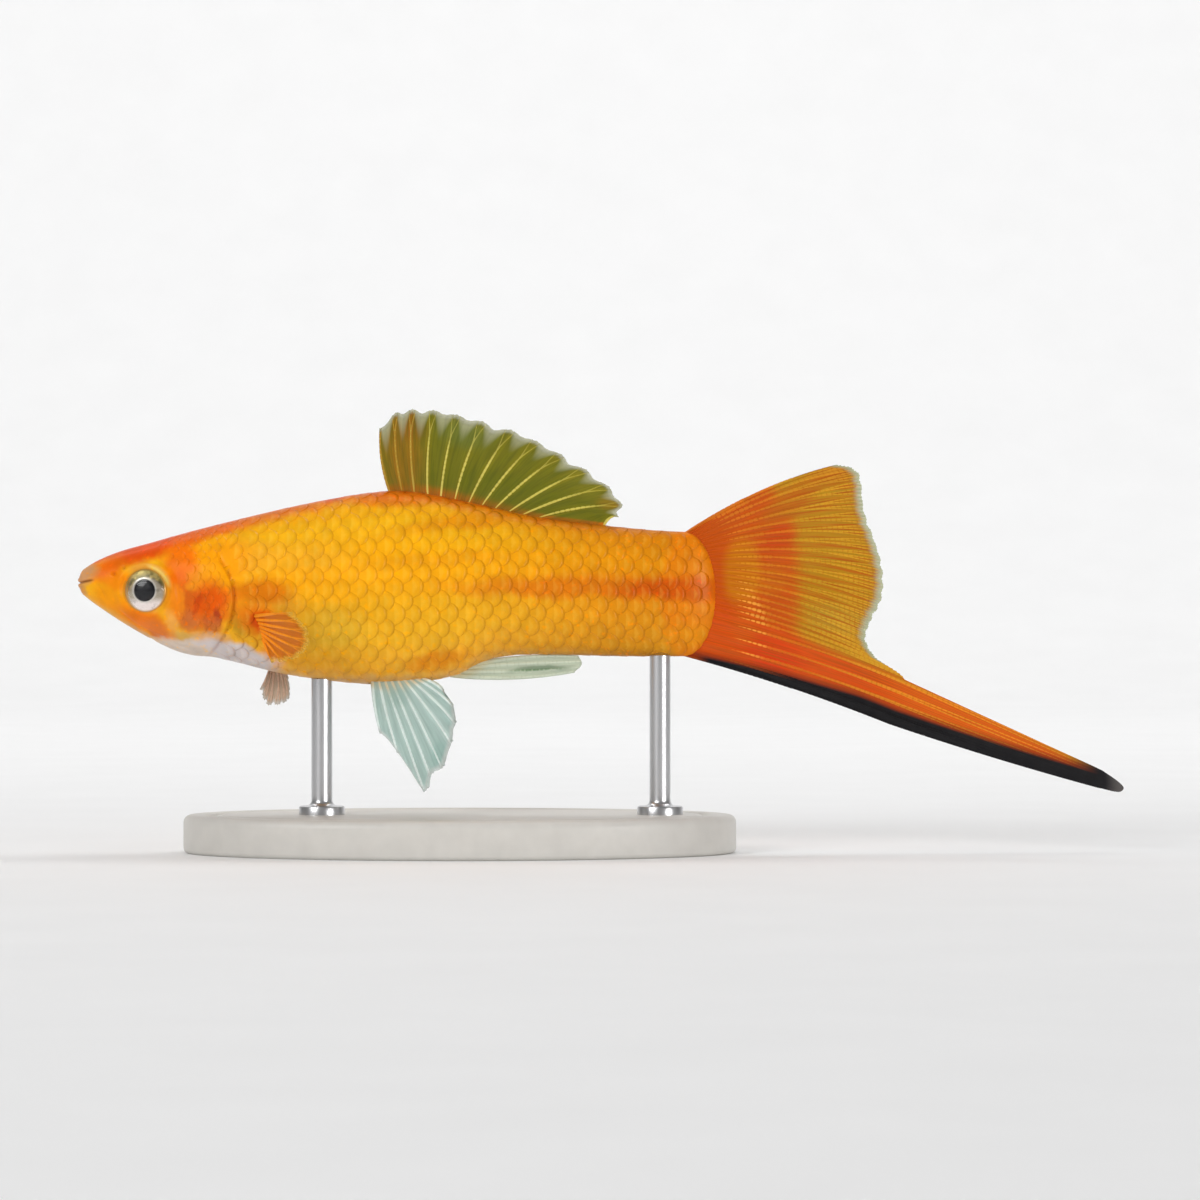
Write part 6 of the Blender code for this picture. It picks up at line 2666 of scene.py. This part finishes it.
@dataclass(frozen=True)
class Lamp:
    """A round, soft light: where it stands, what it points at, its width in metres and its watts."""

    place: tuple[float, float, float]
    aim: tuple[float, float, float]
    width: float
    power: float

    def build(self, name: str) -> None:
        """The light, which the camera doesn't see.

        Args:
            name: the light's name.
        """
        light = bpy.data.lights.new(name, "AREA")
        light.shape = "DISK"
        light.size = self.width
        light.energy = self.power
        lamp = link(bpy.data.objects.new(name, light))
        lamp.location = self.place
        aim = Vector(self.aim) - Vector(self.place)
        lamp.rotation_euler = aim.to_track_quat("-Z", "Y").to_euler()
        lamp.visible_camera = False


@dataclass
class Stage:
    """Pale floor that sweeps up behind the model, soft lights, and the camera."""

    half: float = 1.6
    front: float = -1.4
    flat_to: float = 0.62
    curve: float = 0.35
    height: float = 1.5
    lens: float = 135.0
    camera_at: tuple[float, float, float] = (-0.0002, -0.4725, 0.0265)
    lamps: tuple[Lamp, ...] = (
        Lamp((-0.55, -0.65, 0.4), (0.0, 0.0, 0.03), width=0.45, power=3.75),
        Lamp((0.6, -0.6, 0.08), (0.0, 0.0, 0.03), width=0.3, power=3.2),
        Lamp((0.1, 0.2, 0.8), (0.0, 0.0, 0.02), width=0.5, power=1.6),
        Lamp((-0.45, 0.35, 0.75), (-0.1, 0.95, 0.2), width=0.4, power=2.1),
        Lamp((0.45, 0.35, 0.75), (0.1, 0.95, 0.2), width=0.4, power=2.1),
    )
    world: float = 0.22

    def floor(self) -> bpy.types.Object:
        """The floor and the wall that it sweeps up into.

        Returns:
            The floor.
        """
        line = [(y, 0.0) for y in np.linspace(self.front, self.flat_to, 14)]
        curve = self.curve
        line += [(self.flat_to + curve * sine, curve * (1 - cosine)) for cosine, sine in arc(5, 90, 5)]
        line.append((self.flat_to + self.curve, self.height))
        points = [(x, y, z) for y, z in line for x in (-self.half, self.half)]
        faces = grid_faces(len(line), 2)[:, ::-1].tolist()
        made = smooth(mesh_object("floor", np.array(points), faces))
        finish = Finish("floor")
        nodes = finish.start(0.85)
        paint = nodes.grey(nodes.noise(nodes.own_place(), 60.0), 0.9, 0.94)
        nodes.feed(finish.shader.inputs["Base Color"], paint)
        made.data.materials.append(finish.material)
        return made

    def build(self) -> None:
        """Floor, lights, world and camera."""
        self.floor()
        for k, lamp in enumerate(self.lamps):
            lamp.build(f"lamp_{k}")
        scene = bpy.context.scene
        world = bpy.data.worlds.new("studio")
        world.use_nodes = True
        sky = world.node_tree.nodes["Background"]
        sky.inputs["Color"].default_value = (1.0, 1.0, 1.0, 1.0)
        sky.inputs["Strength"].default_value = self.world
        scene.world = world
        data = bpy.data.cameras.new("camera")
        data.lens = self.lens
        data.sensor_width = 36.0
        data.clip_start = 0.01
        camera = link(bpy.data.objects.new("camera", data))
        camera.location = self.camera_at
        camera.rotation_euler = (math.pi / 2, 0.0, 0.0)
        scene.camera = camera
        scene.view_settings.view_transform = "Standard"


def main() -> None:
    """Builds the model piece by piece, then the stage."""
    logging.basicConfig(level=logging.INFO, format="%(message)s")
    Skin().build()
    Scales().build()
    Eyes().build()
    tree = RayTree()
    for fin in fins():
        fin.build(tree)
    Stand().build()
    Stage().build()


if __name__ == "__main__":
    main()
